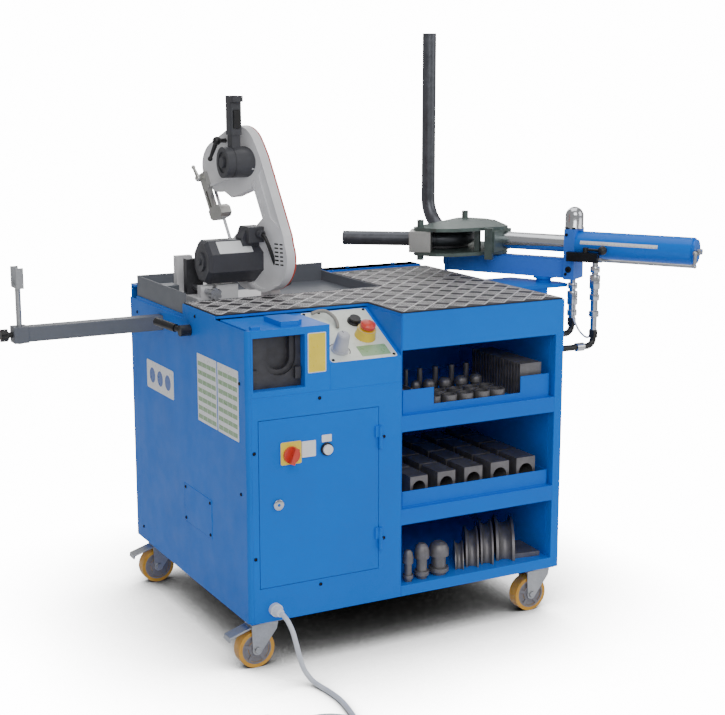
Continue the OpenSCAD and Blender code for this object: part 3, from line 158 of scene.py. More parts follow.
def castPaint(name, colour, rough=0.5, grain=0.22):
    f = Finish(name)
    broad = f.ramp(f.noise(9.0, 5.0), 0.3, 0.7)
    pits = f.noise(260.0, 4.0)
    return f.give(Base_Color=f.mix(broad, tint(colour, 0.86), tint(colour, 1.06)),
                  Roughness=f.ramp(f.noise(40.0, 3.0), 0.3, 0.7, rough - 0.08, rough + 0.1),
                  Coat_Weight=0.12,
                  Normal=f.bump(pits, grain, 0.0012))


def brushedSteel(name, colour, stretch=(4, 60, 60), turn=(0, 0, 0), rough=0.28, scuff=0.3):
    f = Finish(name)
    lines = f.noise(30.0, 4.0, 0.6, stretch, turn)
    cloud = f.ramp(f.noise(12.0, 4.0), 0.35, 0.7)
    base = f.mix(f.ramp(lines, 0.3, 0.7), tint(colour, 0.78), tint(colour, 1.08))
    return f.give(Base_Color=f.mix(cloud * scuff, base, tint(colour, 0.6)),
                  Metallic=1.0,
                  Roughness=f.ramp(lines, 0.3, 0.75, rough - 0.06, rough + 0.14),
                  Normal=f.bump(lines, 0.06, 0.001))


def phosphate(name, colour, metal=0.65, rough=0.48):
    f = Finish(name)
    blotch = f.ramp(f.noise(34.0, 6.0, 0.65), 0.32, 0.7)
    crystal = f.cells(900.0)
    base = f.mix(blotch, tint(colour, 0.7), tint(colour, 1.2))
    return f.give(Base_Color=f.mix(crystal * 0.25, base, tint(colour, 1.5)),
                  Metallic=metal,
                  Roughness=f.ramp(blotch, 0.0, 1.0, rough - 0.1, rough + 0.1),
                  Normal=f.bump(f.noise(380.0, 3.0), 0.12, 0.001))


def mouldedPlastic(name, colour, rough=0.42, grain=0.1, coat=0.1):
    f = Finish(name)
    cloud = f.ramp(f.noise(22.0, 3.0), 0.3, 0.7)
    return f.give(Base_Color=f.mix(cloud, tint(colour, 0.9), tint(colour, 1.08)),
                  Roughness=f.ramp(f.noise(60.0, 3.0), 0.3, 0.7, rough - 0.07, rough + 0.08),
                  Coat_Weight=coat,
                  Normal=f.bump(f.noise(1400.0, 2.0), grain, 0.0006))


def zincPlate(name, colour):
    f = Finish(name)
    flakes = f.cells(160.0)
    stain = f.ramp(f.noise(28.0, 5.0), 0.35, 0.7)
    base = f.mix(flakes, tint(colour, 0.9), tint(colour, 1.06))
    return f.give(Base_Color=f.mix(stain * 0.5, base, tint(colour, 0.7)),
                  Metallic=0.85,
                  Roughness=f.ramp(stain, 0.0, 1.0, 0.3, 0.46),
                  Normal=f.bump(f.noise(300.0, 3.0), 0.05, 0.001))


# The scuff mask mixes the colour towards a second tone: real wear on the black mat, painted highlight on the
# near white ribs
def treadRubber(name, colour, wearAndSheen, rough=0.62):
    f = Finish(name)
    scuff = f.ramp(f.noise(55.0, 5.0, 0.65), 0.38, 0.68)
    return f.give(Base_Color=f.mix(scuff, colour, wearAndSheen),
                  Roughness=f.ramp(scuff, 0.0, 1.0, rough - 0.14, rough + 0.1),
                  Normal=f.bump(f.noise(700.0, 3.0), 0.16, 0.001))


def amberTyre(name, colour):
    f = Finish(name)
    cloud = f.ramp(f.noise(40.0, 4.0), 0.3, 0.7)
    f.shader.inputs["Subsurface Weight"].default_value = 0.15
    f.shader.inputs["Subsurface Scale"].default_value = 0.004
    return f.give(Base_Color=f.mix(cloud, tint(colour, 0.84), tint(colour, 1.1)),
                  Roughness=f.ramp(f.noise(90.0, 3.0), 0.3, 0.7, 0.3, 0.46),
                  Coat_Weight=0.15,
                  Normal=f.bump(f.noise(500.0, 2.0), 0.06, 0.001))


def printedPlate(name, colour, rough=0.3):
    f = Finish(name)
    cloud = f.ramp(f.noise(30.0, 3.0), 0.3, 0.7)
    return f.give(Base_Color=f.mix(cloud, tint(colour, 0.95), tint(colour, 1.03)),
                  Roughness=f.ramp(f.noise(80.0, 2.0), 0.3, 0.7, rough - 0.05, rough + 0.07),
                  Coat_Weight=0.2,
                  Normal=f.bump(f.noise(900.0, 2.0), 0.03, 0.0005))


finishes = {
    "cabinetBlue": powderCoat("cabinet blue powder coat", srgb(0, 112, 218), coat=0.03),
    # The inner blue is the cabinet blue made a little darker: painted shade inside the cabinet
    "shadedInnerBlue": powderCoat("inner blue powder coat painted shade", srgb(0, 106, 214), coat=0.03),
    "beamBlue": powderCoat("beam blue enamel", srgb(58, 120, 222), rough=0.34, coat=0.1),
    "barrelBlue": powderCoat("barrel blue enamel", srgb(4, 112, 222), rough=0.3, coat=0.12),
    "trayGrey": powderCoat("tray grey powder coat", srgb(104, 108, 116), rough=0.42),
    "sawCast": castPaint("saw light grey casting", srgb(226, 226, 228)),
    "sawCover": castPaint("saw cover red paint", srgb(196, 70, 52), grain=0.1),
    "motorDark": castPaint("motor anthracite paint", srgb(62, 63, 70), rough=0.42, grain=0.16),
    "gripDark": mouldedPlastic("grip dark plastic", srgb(62, 63, 68), rough=0.5, grain=0.3),
    "blackPlastic": mouldedPlastic("black plastic", srgb(26, 26, 28)),
    "redPlastic": mouldedPlastic("red plastic", srgb(214, 62, 44), rough=0.34, coat=0.3),
    "yellowPlastic": mouldedPlastic("yellow plastic", srgb(240, 205, 60), rough=0.36),
    "whitePlastic": mouldedPlastic("white plastic", srgb(232, 234, 238), rough=0.34),
    "knobSilver": mouldedPlastic("silver grey knob plastic", srgb(186, 188, 194), rough=0.36),
    "pumpGrey": castPaint("pump grey paint", srgb(110, 118, 124)),
    "dieSteel": phosphate("die dark steel", srgb(72, 72, 76), metal=0.5, rough=0.46),
    "toolGrey": phosphate("tool phosphate grey", srgb(122, 120, 122)),
    "wingGreen": phosphate("wing green grey steel", srgb(98, 112, 108), metal=0.55, rough=0.42),
    "tubeDark": phosphate("pipe mill scale", srgb(92, 94, 100), metal=0.7, rough=0.38),
    "brightSteel": brushedSteel("bright turned steel", srgb(196, 198, 202)),
    "brightCast": brushedSteel("bright machined cast", srgb(204, 204, 200), rough=0.36, scuff=0.5),
    "chrome": brushedSteel("hard chrome", srgb(214, 216, 220), rough=0.14, scuff=0.12),
    "blackSteel": phosphate("black oxide steel", srgb(30, 30, 33), metal=0.6, rough=0.4),
    "zinc": zincPlate("zinc plated steel", srgb(192, 194, 196)),
    "hubGrey": mouldedPlastic("hub grey nylon", srgb(128, 126, 132), rough=0.44),
    "amber": amberTyre("amber polyurethane", srgb(214, 158, 58)),
    "matBase": treadRubber("mat black rubber", srgb(30, 29, 33), srgb(54, 53, 58)),
    # The ribs are coloured near white: painted highlight on black rubber ribs
    "matRibHighlight": treadRubber("mat rib painted highlight", srgb(176, 174, 176), srgb(240, 238, 240), rough=0.5),
    "cableWhite": mouldedPlastic("cable white sheath", srgb(226, 230, 238), rough=0.4, grain=0.05),
    "cableBlack": mouldedPlastic("cable black sheath", srgb(24, 24, 26), rough=0.45),
    "conduitGrey": mouldedPlastic("conduit grey", srgb(150, 146, 138), rough=0.42),
    "plateWhite": printedPlate("plate white enamel", srgb(236, 238, 240)),
    "platePale": printedPlate("console plate pale green", srgb(226, 232, 222)),
    "plateGreen": printedPlate("plate green enamel", srgb(140, 176, 132)),
    "plateYellow": printedPlate("plate yellow enamel", srgb(240, 214, 64)),
    "plateBlue": printedPlate("plate blue enamel", srgb(36, 92, 176)),
}
print("finishes made:", len(finishes))


nodeFinish = {
    "cabinet_shell": "cabinetBlue", "left_panel": "cabinetBlue", "front_panel": "cabinetBlue",
    "shelf_unit": "shadedInnerBlue", "top_plate": "cabinetBlue", "rubber_mat": "matBase",
    "panel_screws": "blackSteel", "power_unit": "pumpGrey", "head_block": "cabinetBlue",
    "head_die": "dieSteel", "console": "cabinetBlue", "start_button": "blackPlastic",
    "estop_button": "redPlastic", "pressure_knob": "knobSilver", "door": "cabinetBlue",
    "switch_knob": "redPlastic", "reset_button": "whitePlastic", "castor_plates": "zinc",
    "arm_tube": "trayGrey", "arm_clamp": "blackPlastic", "arm_fork": "zinc", "fork_knob": "blackPlastic",
    "saw_tray": "trayGrey", "saw_base": "sawCast", "vise_jaw": "dieSteel", "vise_screw": "brightSteel",
    "saw_bow": "sawCast", "bow_cover": "sawCover", "saw_motor": "motorDark", "saw_handle": "gripDark",
    "saw_trigger": "blackPlastic", "tension_lever": "blackPlastic", "guide_arm": "brightCast",
    "saw_blade": "brightSteel", "bender_post": "cabinetBlue", "swivel_beam": "beamBlue",
    "barrel": "barrelBlue", "ram_rod": "chrome", "carriage": "wingGreen", "die_front": "brightCast",
    "die_rear": "brightCast", "former": "dieSteel", "work_tube": "tubeDark", "stop_lever": "blackPlastic",
    "hoses": "zinc", "tool_set": "toolGrey", "mains_gland": "whitePlastic", "mains_cord": "cableWhite",
    "cord_coil": "cableWhite", "mains_plug": "blackPlastic",
    "pedal_front_left": "zinc", "pedal_back_left": "zinc",
}
for corner in ("front_left", "front_right", "back_left", "back_right"):
    nodeFinish["fork_" + corner] = "zinc"
    nodeFinish["wheel_" + corner] = "amber"

# Rounded edges on the solids, by live modifiers
edges = {"width": 0.0012, "angle": 38, "segments": 2, "merge": 0.00001}
softNodes = {"mains_cord", "cord_coil", "hoses", "panel_screws"}
edgeWidth = {"cabinet_shell": 0.0014, "front_panel": 0.0008, "door": 0.0008, "saw_blade": 0.0002,
             "saw_bow": 0.003, "bow_cover": 0.002, "saw_motor": 0.003, "saw_handle": 0.004,
             "tool_set": 0.0008, "carriage": 0.0015, "rubber_mat": 0.0006}
for name, node in nodes.items():
    node.data.materials.clear()
    node.data.materials.append(finishes[nodeFinish[name]])
    if name in softNodes:
        continue
    weld = node.modifiers.new("weld", "WELD")
    weld.merge_threshold = edges["merge"]
    bevel = node.modifiers.new("edges", "BEVEL")
    bevel.width = edgeWidth.get(name, edges["width"])
    bevel.segments = edges["segments"]
    bevel.limit_method = "ANGLE"
    bevel.angle_limit = math.radians(edges["angle"])
    normals = node.modifiers.new("normals", "WEIGHTED_NORMAL")
    normals.keep_sharp = True
print("solids dressed")


# Mesh helpers, in millimetres
def arc(cx, cy, radius, first, last, steps):
    angles = [math.radians(first + (last - first) * i / steps) for i in range(steps + 1)]
    return [(cx + radius * math.cos(a), cy + radius * math.sin(a)) for a in angles]


def roundRect(x0, y0, x1, y1, radius, steps=4):
    return (arc(x1 - radius, y0 + radius, radius, -90, 0, steps)
            + arc(x1 - radius, y1 - radius, radius, 0, 90, steps)
            + arc(x0 + radius, y1 - radius, radius, 90, 180, steps)
            + arc(x0 + radius, y0 + radius, radius, 180, 270, steps))


def soften(b, faces, width):
    rims = {e for f in faces for e in f.edges if len(e.link_faces) == 2 and e.calc_face_angle() > 0.6}
    bmesh.ops.bevel(b, geom=list(rims), offset=width, segments=2, profile=0.5, affect="EDGES",
                    clamp_overlap=True)


def addPrism(b, outline, z0, z1, soft=0.0, place=Matrix()):
    low = [b.verts.new(place @ Vector((x, y, z0))) for x, y in outline]
    high = [b.verts.new(place @ Vector((x, y, z1))) for x, y in outline]
    count = len(outline)
    faces = [b.faces.new(low[::-1]), b.faces.new(high)]
    for i in range(count):
        j = (i + 1) % count
        faces.append(b.faces.new((low[i], low[j], high[j], high[i])))
    if soft:
        soften(b, faces, soft)


def addBox(b, lo, hi, soft=0.0, place=Matrix()):
    outline = [(lo[0], lo[1]), (hi[0], lo[1]), (hi[0], hi[1]), (lo[0], hi[1])]
    addPrism(b, outline, lo[2], hi[2], soft, place)


def addLathe(b, profile, place=Matrix(), steps=40):
    rings = []
    for radius, z in profile:
        if radius < 1e-6:
            rings.append([b.verts.new(place @ Vector((0, 0, z)))])
        else:
            circle = arc(0, 0, radius, 0, 360, steps)[:-1]
            rings.append([b.verts.new(place @ Vector((x, y, z))) for x, y in circle])
    for low, high in zip(rings, rings[1:]):
        for i in range(steps):
            j = (i + 1) % steps
            corners = [low[i % len(low)], low[j % len(low)], high[j % len(high)], high[i % len(high)]]
            loop = [v for k, v in enumerate(corners) if v is not corners[k - 1]]
            if len(loop) > 2:
                b.faces.new(loop)


def smoothRoute(points, steps):
    route = [Vector(p) for p in points]
    last = len(route) - 1
    made = []
    for i in range(last):
        a, p, q, d = route[max(i - 1, 0)], route[i], route[i + 1], route[min(i + 2, last)]
        for k in range(steps):
            t = k / steps
            made.append(0.5 * (2 * p + (q - a) * t + (2 * a - 5 * p + 4 * q - d) * t * t
                               + (3 * p - a - 3 * q + d) * t * t * t))
    return made + [route[last]]


def headings(points):
    last = len(points) - 1
    return [(points[min(i + 1, last)] - points[max(i - 1, 0)]).normalized() for i in range(last + 1)]


def addTube(b, points, radius, sides=12):
    sizes = radius if isinstance(radius, list) else [radius] * len(points)
    side = Vector((0.31, 0.17, 0.94))      # any direction that no tube starts along
    circle = arc(0, 0, 1, 0, 360, sides)[:-1]
    rings = []
    for point, ahead, size in zip(points, headings(points), sizes):
        side = (side - side.dot(ahead) * ahead).normalized()
        across = ahead.cross(side)
        rings.append([b.verts.new(point + size * (x * side + y * across)) for x, y in circle])
    for low, high in zip(rings, rings[1:]):
        for i in range(sides):
            j = (i + 1) % sides
            b.faces.new((low[i], low[j], high[j], high[i]))
    b.faces.new(rings[0][::-1])
    b.faces.new(rings[-1])


def along(point, direction):
    return Matrix.Translation(point) @ Vector(direction).to_track_quat("Z", "Y").to_matrix().to_4x4()


def toObject(name, b, base, finish, sharp=35):
    bmesh.ops.remove_doubles(b, verts=b.verts, dist=1e-4)
    bmesh.ops.recalc_face_normals(b, faces=b.faces)
    b.transform(base)
    mesh = bpy.data.meshes.new(name)
    b.to_mesh(mesh)
    b.free()
    mesh.polygons.foreach_set("use_smooth", [True] * len(mesh.polygons))
    mesh.set_sharp_from_angle(angle=math.radians(sharp))
    mesh.materials.append(finishes[finish])
    obj = bpy.data.objects.new(name, mesh)
    scene.collection.objects.link(obj)
    return obj


def piece(name, b, base, body, finish, sharp=35):
    obj = toObject(name, b, base, finish, sharp)
    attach(obj, body)
    return obj


# Camera at the photograph's viewing angle
view = {"place": (-1.8697, -3.6223, 1.5297), "turn": (78.542, 0, -28.204), "lens": 72.32, "sensor": 36}
camera = bpy.data.objects.new("camera", bpy.data.cameras.new("camera"))
camera.location = view["place"]
camera.rotation_euler = [math.radians(a) for a in view["turn"]]
camera.data.lens = view["lens"]
camera.data.sensor_width = view["sensor"]
scene.collection.objects.link(camera)
scene.camera = camera

# Soft studio light and a plain pale floor
studio = {"floorSize": 60, "floorColour": srgb(246, 246, 247), "sky": 0.4, "backdrop": 15, "shadeReach": 0.55,
          "aim": (0, 0, 0.5)}
lamps = [
    {"name": "keyLight", "place": (-1.6, -4.6, 3.8), "size": 3.2, "power": 120},
    {"name": "fillLight", "place": (3.6, -3.0, 2.6), "size": 3.0, "power": 50},
    {"name": "topLight", "place": (0.3, 0.4, 5.0), "size": 4.0, "power": 90},
    {"name": "rimLight", "place": (1.5, 4.0, 3.0), "size": 2.5, "power": 45},
]
for lamp in lamps:
    data = bpy.data.lights.new(lamp["name"], "AREA")
    data.size = lamp["size"]
    data.energy = lamp["power"]
    light = bpy.data.objects.new(lamp["name"], data)
    light.location = lamp["place"]
    light.rotation_euler = (Vector(studio["aim"]) - light.location).to_track_quat("-Z", "Y").to_euler()
    scene.collection.objects.link(light)
world = bpy.data.worlds.new("studio")
world.use_nodes = True
backdrop = world.node_tree.nodes["Background"]
backdrop.inputs["Color"].default_value = (1, 1, 1, 1)
seen = world.node_tree.nodes.new("ShaderNodeLightPath")
level = world.node_tree.nodes.new("ShaderNodeMapRange")
level.inputs["To Min"].default_value = studio["sky"]
level.inputs["To Max"].default_value = studio["backdrop"]
world.node_tree.links.new(seen.outputs["Is Camera Ray"], level.inputs["Value"])
world.node_tree.links.new(level.outputs[0], backdrop.inputs["Strength"])
scene.world = world
floorMesh = bpy.data.meshes.new("floor")
half = studio["floorSize"] / 2
floorCorners = [(-half, -half, 0), (half, -half, 0), (half, half, 0), (-half, half, 0)]
floorMesh.from_pydata(floorCorners, [], [(0, 1, 2, 3)])
floorObject = bpy.data.objects.new("floor", floorMesh)
scene.collection.objects.link(floorObject)

# The floor lights the object as plain pale paint; the camera sees it glow white, and grey with painted shade
# from ambient occlusion where it is covered
floorFinish = Finish("pale floor")
floorCloud = floorFinish.noise(1.5, 2.0)
floorMesh.materials.append(floorFinish.give(
    Base_Color=floorFinish.mix(floorCloud, tint(studio["floorColour"], 0.985), studio["floorColour"]),
    Roughness=0.8))
# Ambient occlusion darkens the floor's glow under and near the machine: painted shade
opened = floorFinish.node(
    "ShaderNodeAmbientOcclusion", {"samples": 12}, {"Distance": studio["shadeReach"]}, out="AO")
opened = opened * opened
glowWithPaintedShade = floorFinish.node("ShaderNodeEmission", {}, {"Color": opened * opened, "Strength": studio["backdrop"]})
shown = floorFinish.node("ShaderNodeLightPath", out="Is Camera Ray")
floorLook = floorFinish.node("ShaderNodeMixShader", {}, {
    0: shown, 1: Value(floorFinish, floorFinish.shader.outputs[0]), 2: glowWithPaintedShade})
floorFinish.fill(floorFinish.tree.nodes["Material Output"], {"Surface": floorLook})
print("studio ready")


# Mains lead: out of the gland, down to the floor and into its stored coil
lead = {"diameter": 13, "floor": 6.6 - 130, "coilAt": (2, -430), "coilRadius": 102, "coilPitch": 16,
        "loops": 3, "layerRise": 13.6, "stepsPerTurn": 48, "tail": 46}
ground = lead["floor"]
coilStart = (lead["coilAt"][0] + lead["coilRadius"], lead["coilAt"][1] + lead["diameter"], ground)
leadRoute = [(69, -36, 33), (69, -43, 33), (69, -52, 33), (70, -77, 25), (73, -98, 4), (78, -106, -25),
             (83, -107, -46), (88, -108, -67), (96, -116, -95), (106, -136, -115), (115, -165, ground + 1),
             (121, -198, ground), (124, -250, ground), (119, -300, ground), (110, -350, ground),
             (104, -388, ground), (104, -403, ground), coilStart]


def coilPoint(turn):
    loops, outer, pitch = lead["loops"], lead["coilRadius"], lead["coilPitch"]
    inner = outer - pitch * loops
    climb = min(max(2 * (turn - loops), 0), 1)
    radius = outer - pitch * turn if turn < loops else inner + pitch * max(turn - loops - 0.5, 0)
    angle = -2 * math.pi * turn
    return Vector((lead["coilAt"][0] + radius * math.cos(angle), lead["coilAt"][1] + radius * math.sin(angle),
                   ground + lead["layerRise"] * climb))


coilSteps = round(lead["stepsPerTurn"] * (2 * lead["loops"] + 0.5))
coilEnd = Vector((lead["coilAt"][0] - lead["coilRadius"], lead["coilAt"][1] + lead["tail"],
                  ground + lead["layerRise"]))
coilLine = [coilPoint(i / lead["stepsPerTurn"]) for i in range(coilSteps + 1)]
leadLine = smoothRoute(leadRoute, 8) + coilLine + [coilEnd]
leadMesh = bmesh.new()
addTube(leadMesh, leadLine, lead["diameter"] / 2, 14)
mainsLead = piece("mainsLead", leadMesh, cabFrame, "cabinet", "cableWhite")
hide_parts("mains_cord", "cord_coil")
leadMetres = [cabFrame @ p for p in leadLine]
leadLength = sum((q - p).length for p, q in zip(leadMetres, leadMetres[1:]))
print("mains lead:", round(leadLength, 2), "m")


# A node tree that sets copies of one small part on points, turned and stretched by the points' attributes
def makeCopyTree():
    tree = bpy.data.node_groups.new("copies", "GeometryNodeTree")
    sockets = {"Geometry": "NodeSocketGeometry", "Part": "NodeSocketObject", "Size": "NodeSocketFloat",
               "Finish": "NodeSocketMaterial"}
    for name, kind in sockets.items():
        tree.interface.new_socket(name, in_out="INPUT", socket_type=kind)
    tree.interface.new_socket("Geometry", in_out="OUTPUT", socket_type="NodeSocketGeometry")
    entry, leave = tree.nodes.new("NodeGroupInput"), tree.nodes.new("NodeGroupOutput")
    part, turn, stretch = (tree.nodes.new(kind) for kind in (
        "GeometryNodeObjectInfo", "GeometryNodeInputNamedAttribute", "GeometryNodeInputNamedAttribute"))
    turn.data_type, stretch.data_type = "QUATERNION", "FLOAT_VECTOR"
    turn.inputs["Name"].default_value, stretch.inputs["Name"].default_value = "turn", "stretch"
    sized = tree.nodes.new("ShaderNodeVectorMath")
    sized.operation = "SCALE"
    instance, real, paint = (tree.nodes.new(kind) for kind in (
        "GeometryNodeInstanceOnPoints", "GeometryNodeRealizeInstances", "GeometryNodeSetMaterial"))
    for start, end in (
            (entry.outputs["Part"], part.inputs["Object"]),
            (entry.outputs["Geometry"], instance.inputs["Points"]),
            (part.outputs["Geometry"], instance.inputs["Instance"]),
            (turn.outputs["Attribute"], instance.inputs["Rotation"]),
            (stretch.outputs["Attribute"], sized.inputs[0]), (entry.outputs["Size"], sized.inputs["Scale"]),
            (sized.outputs[0], instance.inputs["Scale"]), (instance.outputs[0], real.inputs[0]),
            (real.outputs[0], paint.inputs["Geometry"]), (entry.outputs["Finish"], paint.inputs["Material"]),
            (paint.outputs[0], leave.inputs[0])):
        tree.links.new(start, end)
    return tree


copyTree = makeCopyTree()


def copies(name, b, places, base, body, finish):
    part = toObject(name + "Part", b, Matrix(), finish)
    spots = [(base @ place).decompose() for place, stretch in places]
    points = bpy.data.meshes.new(name)
    points.from_pydata([spot for spot, turn, size in spots], [], [])
    points.attributes.new("turn", "QUATERNION", "POINT").data.foreach_set(
        "value", [c for spot, turn, size in spots for c in turn])
    points.attributes.new("stretch", "FLOAT_VECTOR", "POINT").data.foreach_set(
        "vector", [c for place, stretch in places for c in stretch])
    obj = bpy.data.objects.new(name, points)
    scene.collection.objects.link(obj)
    modifier = obj.modifiers.new("copies", "NODES")
    modifier.node_group = copyTree
    given = {"Part": part, "Size": 0.001, "Finish": finishes[finish]}      # parts are in millimetres
    for socket in copyTree.interface.items_tree:
        if socket.in_out == "INPUT" and socket.name in given:
            modifier[socket.identifier] = given[socket.name]
    obj.update_tag()
    graph = bpy.context.evaluated_depsgraph_get()
    mesh = bpy.data.meshes.new_from_object(obj.evaluated_get(graph))
    obj.modifiers.clear()
    obj.data = mesh
    bpy.data.objects.remove(part)
    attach(obj, body)
    return obj


whole = (1, 1, 1)


def addTaper(b, shrink=0.6):
    low = [b.verts.new((x * 0.5, y * 0.5, 0)) for x, y in ((-1, -1), (1, -1), (1, 1), (-1, 1))]
    high = [b.verts.new((v.co.x * 0.94, v.co.y * shrink, 1)) for v in low]
    b.faces.new(low[::-1])
    b.faces.new(high)
    for i in range(4):
        j = (i + 1) % 4
        b.faces.new((low[i], low[j], high[j], high[i]))


# Tread of the rubber mat: wide and thin ridges on the diagonals, and small studs in every other diamond;
# ridges and studs are coloured near white, a painted highlight on black rubber
tread = {"pitch": 61.5, "at": (540, 563), "columns": (-9, 8), "rows": (-10, 4), "top": 770, "wide": 5.2,
         "thin": 2.4, "rise": 1.2, "bars": 3, "overlap": 0.4, "studLong": 4.4, "studWide": 2.2,
         "studRise": 0.9, "studPitch": 7, "studs": 5, "margin": 3}
diagonal = 0.7071      # a diamond's side over its pitch
matParts = [(3, 190, 612, 416), (440, 4, 947, 416), (612, 4, 947, 705)]


def onMat(x, y):
    m = tread["margin"]
    return any(x0 + m < x < x1 - m and y0 + m < y < y1 - m for x0, y0, x1, y1 in matParts)


def flat(x, y, degrees):
    return Matrix.Translation((x, y, tread["top"])) @ turned(degrees, "Z")


ridgePlaces, studPlaces = [], []
pitch, bars = tread["pitch"], tread["bars"]
barSizes = {width: (pitch * diagonal / bars + tread["overlap"], width, tread["rise"])
            for width in (tread["wide"], tread["thin"])}
studSize = (tread["studLong"], tread["studWide"], tread["studRise"])
for i in range(*tread["columns"]):
    for j in range(*tread["rows"]):
        for offX, offY in ((0.5, 0), (0, 0.5)):
            x, y = tread["at"][0] + pitch * (i + offX), tread["at"][1] + pitch * (j + offY)
            for degrees, width in ((45, tread["wide"]), (-45, tread["thin"])):
                dx, dy = math.cos(math.radians(degrees)), math.sin(math.radians(degrees))
                for k in range(1, 2 * bars, 2):
                    reach = pitch * diagonal * k / (2 * bars)
                    rx, ry = x + dx * reach, y + dy * reach
                    if onMat(rx, ry):
                        ridgePlaces.append((flat(rx, ry, degrees), barSizes[width]))
        x, y = tread["at"][0] + pitch * (i + 0.5), tread["at"][1] + pitch * (j + 0.5)
        middle = (tread["studs"] - 1) / 2
        for p in range(tread["studs"]):
            for q in range(tread["studs"]):
                u, v = (p - middle) * tread["studPitch"], (q - middle) * tread["studPitch"]
                sx, sy = x + (u - v) * diagonal, y + (u + v) * diagonal
                if onMat(sx, sy):
                    studPlaces.append((flat(sx, sy, 45 if (p + q) % 2 else -45), studSize))
for name, places in (("matRidges", ridgePlaces), ("matStuds", studPlaces)):
    bar = bmesh.new()
    addTaper(bar)
    copies(name, bar, places, cabFrame, "cabinet", "matRibHighlight")
print("mat tread:", len(ridgePlaces), "ridges,", len(studPlaces), "studs")


# Screws: button heads on the panels, in place of the plain ones
button = {"head": 4.8, "rise": 2.8, "socket": 2.0, "depth": 1.3}


def addButton(b, size=1.0):
    head, rise, socket = button["head"] * size, button["rise"] * size, button["socket"] * size
    floor = rise - button["depth"]
    addLathe(b, [(0, floor), (socket, floor), (socket, rise), (head * 0.62, rise * 0.96),
                 (head * 0.9, rise * 0.62), (head, rise * 0.15), (head, 0)], steps=24)


frontOut, leftOut = (0, -1, 0), (-1, 0, 0)
screwPlaces = [((x, 0, z), frontOut) for x in (18, 386) for z in (173, 448)]
screwPlaces += [((200, 0, z), frontOut) for z in (77, 571)]
screwPlaces += [((0, 43, z), leftOut) for z in (335, 620)] + [((0, 780, z), leftOut) for z in (40, 690)]
screwPlaces += [((0, 330, 745), leftOut)]
screwPlaces += [((-1, y, z), leftOut) for y in (250, 425) for z in (168, 256)]
screw = bmesh.new()
addButton(screw)
panelButtons = copies("panelButtons", screw, [(along(p, d), whole) for p, d in screwPlaces], cabFrame,
                      "cabinet", "blackSteel")
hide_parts("panel_screws")


# Bare plates and small fittings of the console
console = {"plate": (236, 1, 428, 211, 8), "thick": 0.25, "rim": 1.4, "label": (329, 12.5, 413, 55, 3),
           "screws": [(245, 204), (421, 204), (419.7, 10), (243.4, 10), (289, 205.6)],
           "estop": (374, 93), "start": (371, 155), "knob": (278, 46), "knobTop": 54}
x0, y0, x1, y1, r = console["plate"]
rim, thick = console["rim"], console["thick"]
b = bmesh.new()
addPrism(b, roundRect(x0, y0, x1, y1, r), 0.02, thick)
piece("consoleRim", b, slopeFrame, "cabinet", "plateWhite")
b = bmesh.new()
addPrism(b, roundRect(x0 + rim, y0 + rim, x1 - rim, y1 - rim, r - rim), thick, thick + 0.1)
piece("consolePlate", b, slopeFrame, "cabinet", "platePale")
b = bmesh.new()
addPrism(b, roundRect(*console["label"]), thick + 0.1, thick + 0.4)
piece("consoleLabel", b, slopeFrame, "cabinet", "plateGreen")
screw = bmesh.new()
addButton(screw, 0.9)
copies("consoleScrews", screw, [(Matrix.Translation((x, y, thick)), whole) for x, y in console["screws"]],
       slopeFrame, "cabinet", "blackSteel")
b = bmesh.new()
addLathe(b, [(10, 26.02), (22, 26.18), (24.7, 25.4), (25.2, 18), (26.2, 9), (28.4, 1.5), (28.6, thick)],
         Matrix.Translation((*console["estop"], 0)), 56)
piece("estopCollar", b, slopeFrame, "cabinet", "yellowPlastic", 50)
b = bmesh.new()
addLathe(b, [(15.4, 5.6), (15.6, 6.3), (18.4, 6.3), (19.3, 5.4), (19.6, thick)],
         Matrix.Translation((*console["start"], 0)), 48)
piece("startRing", b, slopeFrame, "cabinet", "blackPlastic")
b = bmesh.new()
kx, ky = console["knob"]
addPrism(b, arc(kx, ky, 29, -40, 150, 30) + arc(kx, ky, 26.6, 150, -40, 30), thick + 0.1, thick + 0.3)
piece("knobArc", b, slopeFrame, "cabinet", "blackPlastic")
b = bmesh.new()
addBox(b, (kx - 0.9, ky + 3, console["knobTop"]), (kx + 0.9, ky + 12, console["knobTop"] + 0.3))
piece("knobPointer", b, slopeFrame, "pressure_knob", "blackPlastic")
conduitRoute = [(262, 196, 8), (284, 199, 12), (303, 192, 14), (314, 172, 12), (315, 150, 9), (312, 134, 3)]
conduitLine = smoothRoute(conduitRoute, 24)
b = bmesh.new()
addTube(b, conduitLine, [4.2 + 0.8 * (i % 4 > 1) for i in range(len(conduitLine))], 14)
piece("consoleConduit", b, slopeFrame, "cabinet", "conduitGrey", 60)
print("console dressed")


# Bare plates on the head, the left panel and the door
headPlate = {"rim": (168, 637.5, 219, 739.5, 3), "inset": 2, "corner": 2}
b = bmesh.new()
addPrism(b, roundRect(*headPlate["rim"]), 0.02, 0.3)
piece("headPlateRim", b, frontFrame, "cabinet", "plateWhite")
x0, y0, x1, y1, r = headPlate["rim"]
inset = headPlate["inset"]
b = bmesh.new()
addPrism(b, roundRect(x0 + inset, y0 + inset, x1 - inset, y1 - inset, headPlate["corner"]), 0.3, 0.5)
piece("headPlate", b, frontFrame, "cabinet", "plateYellow")

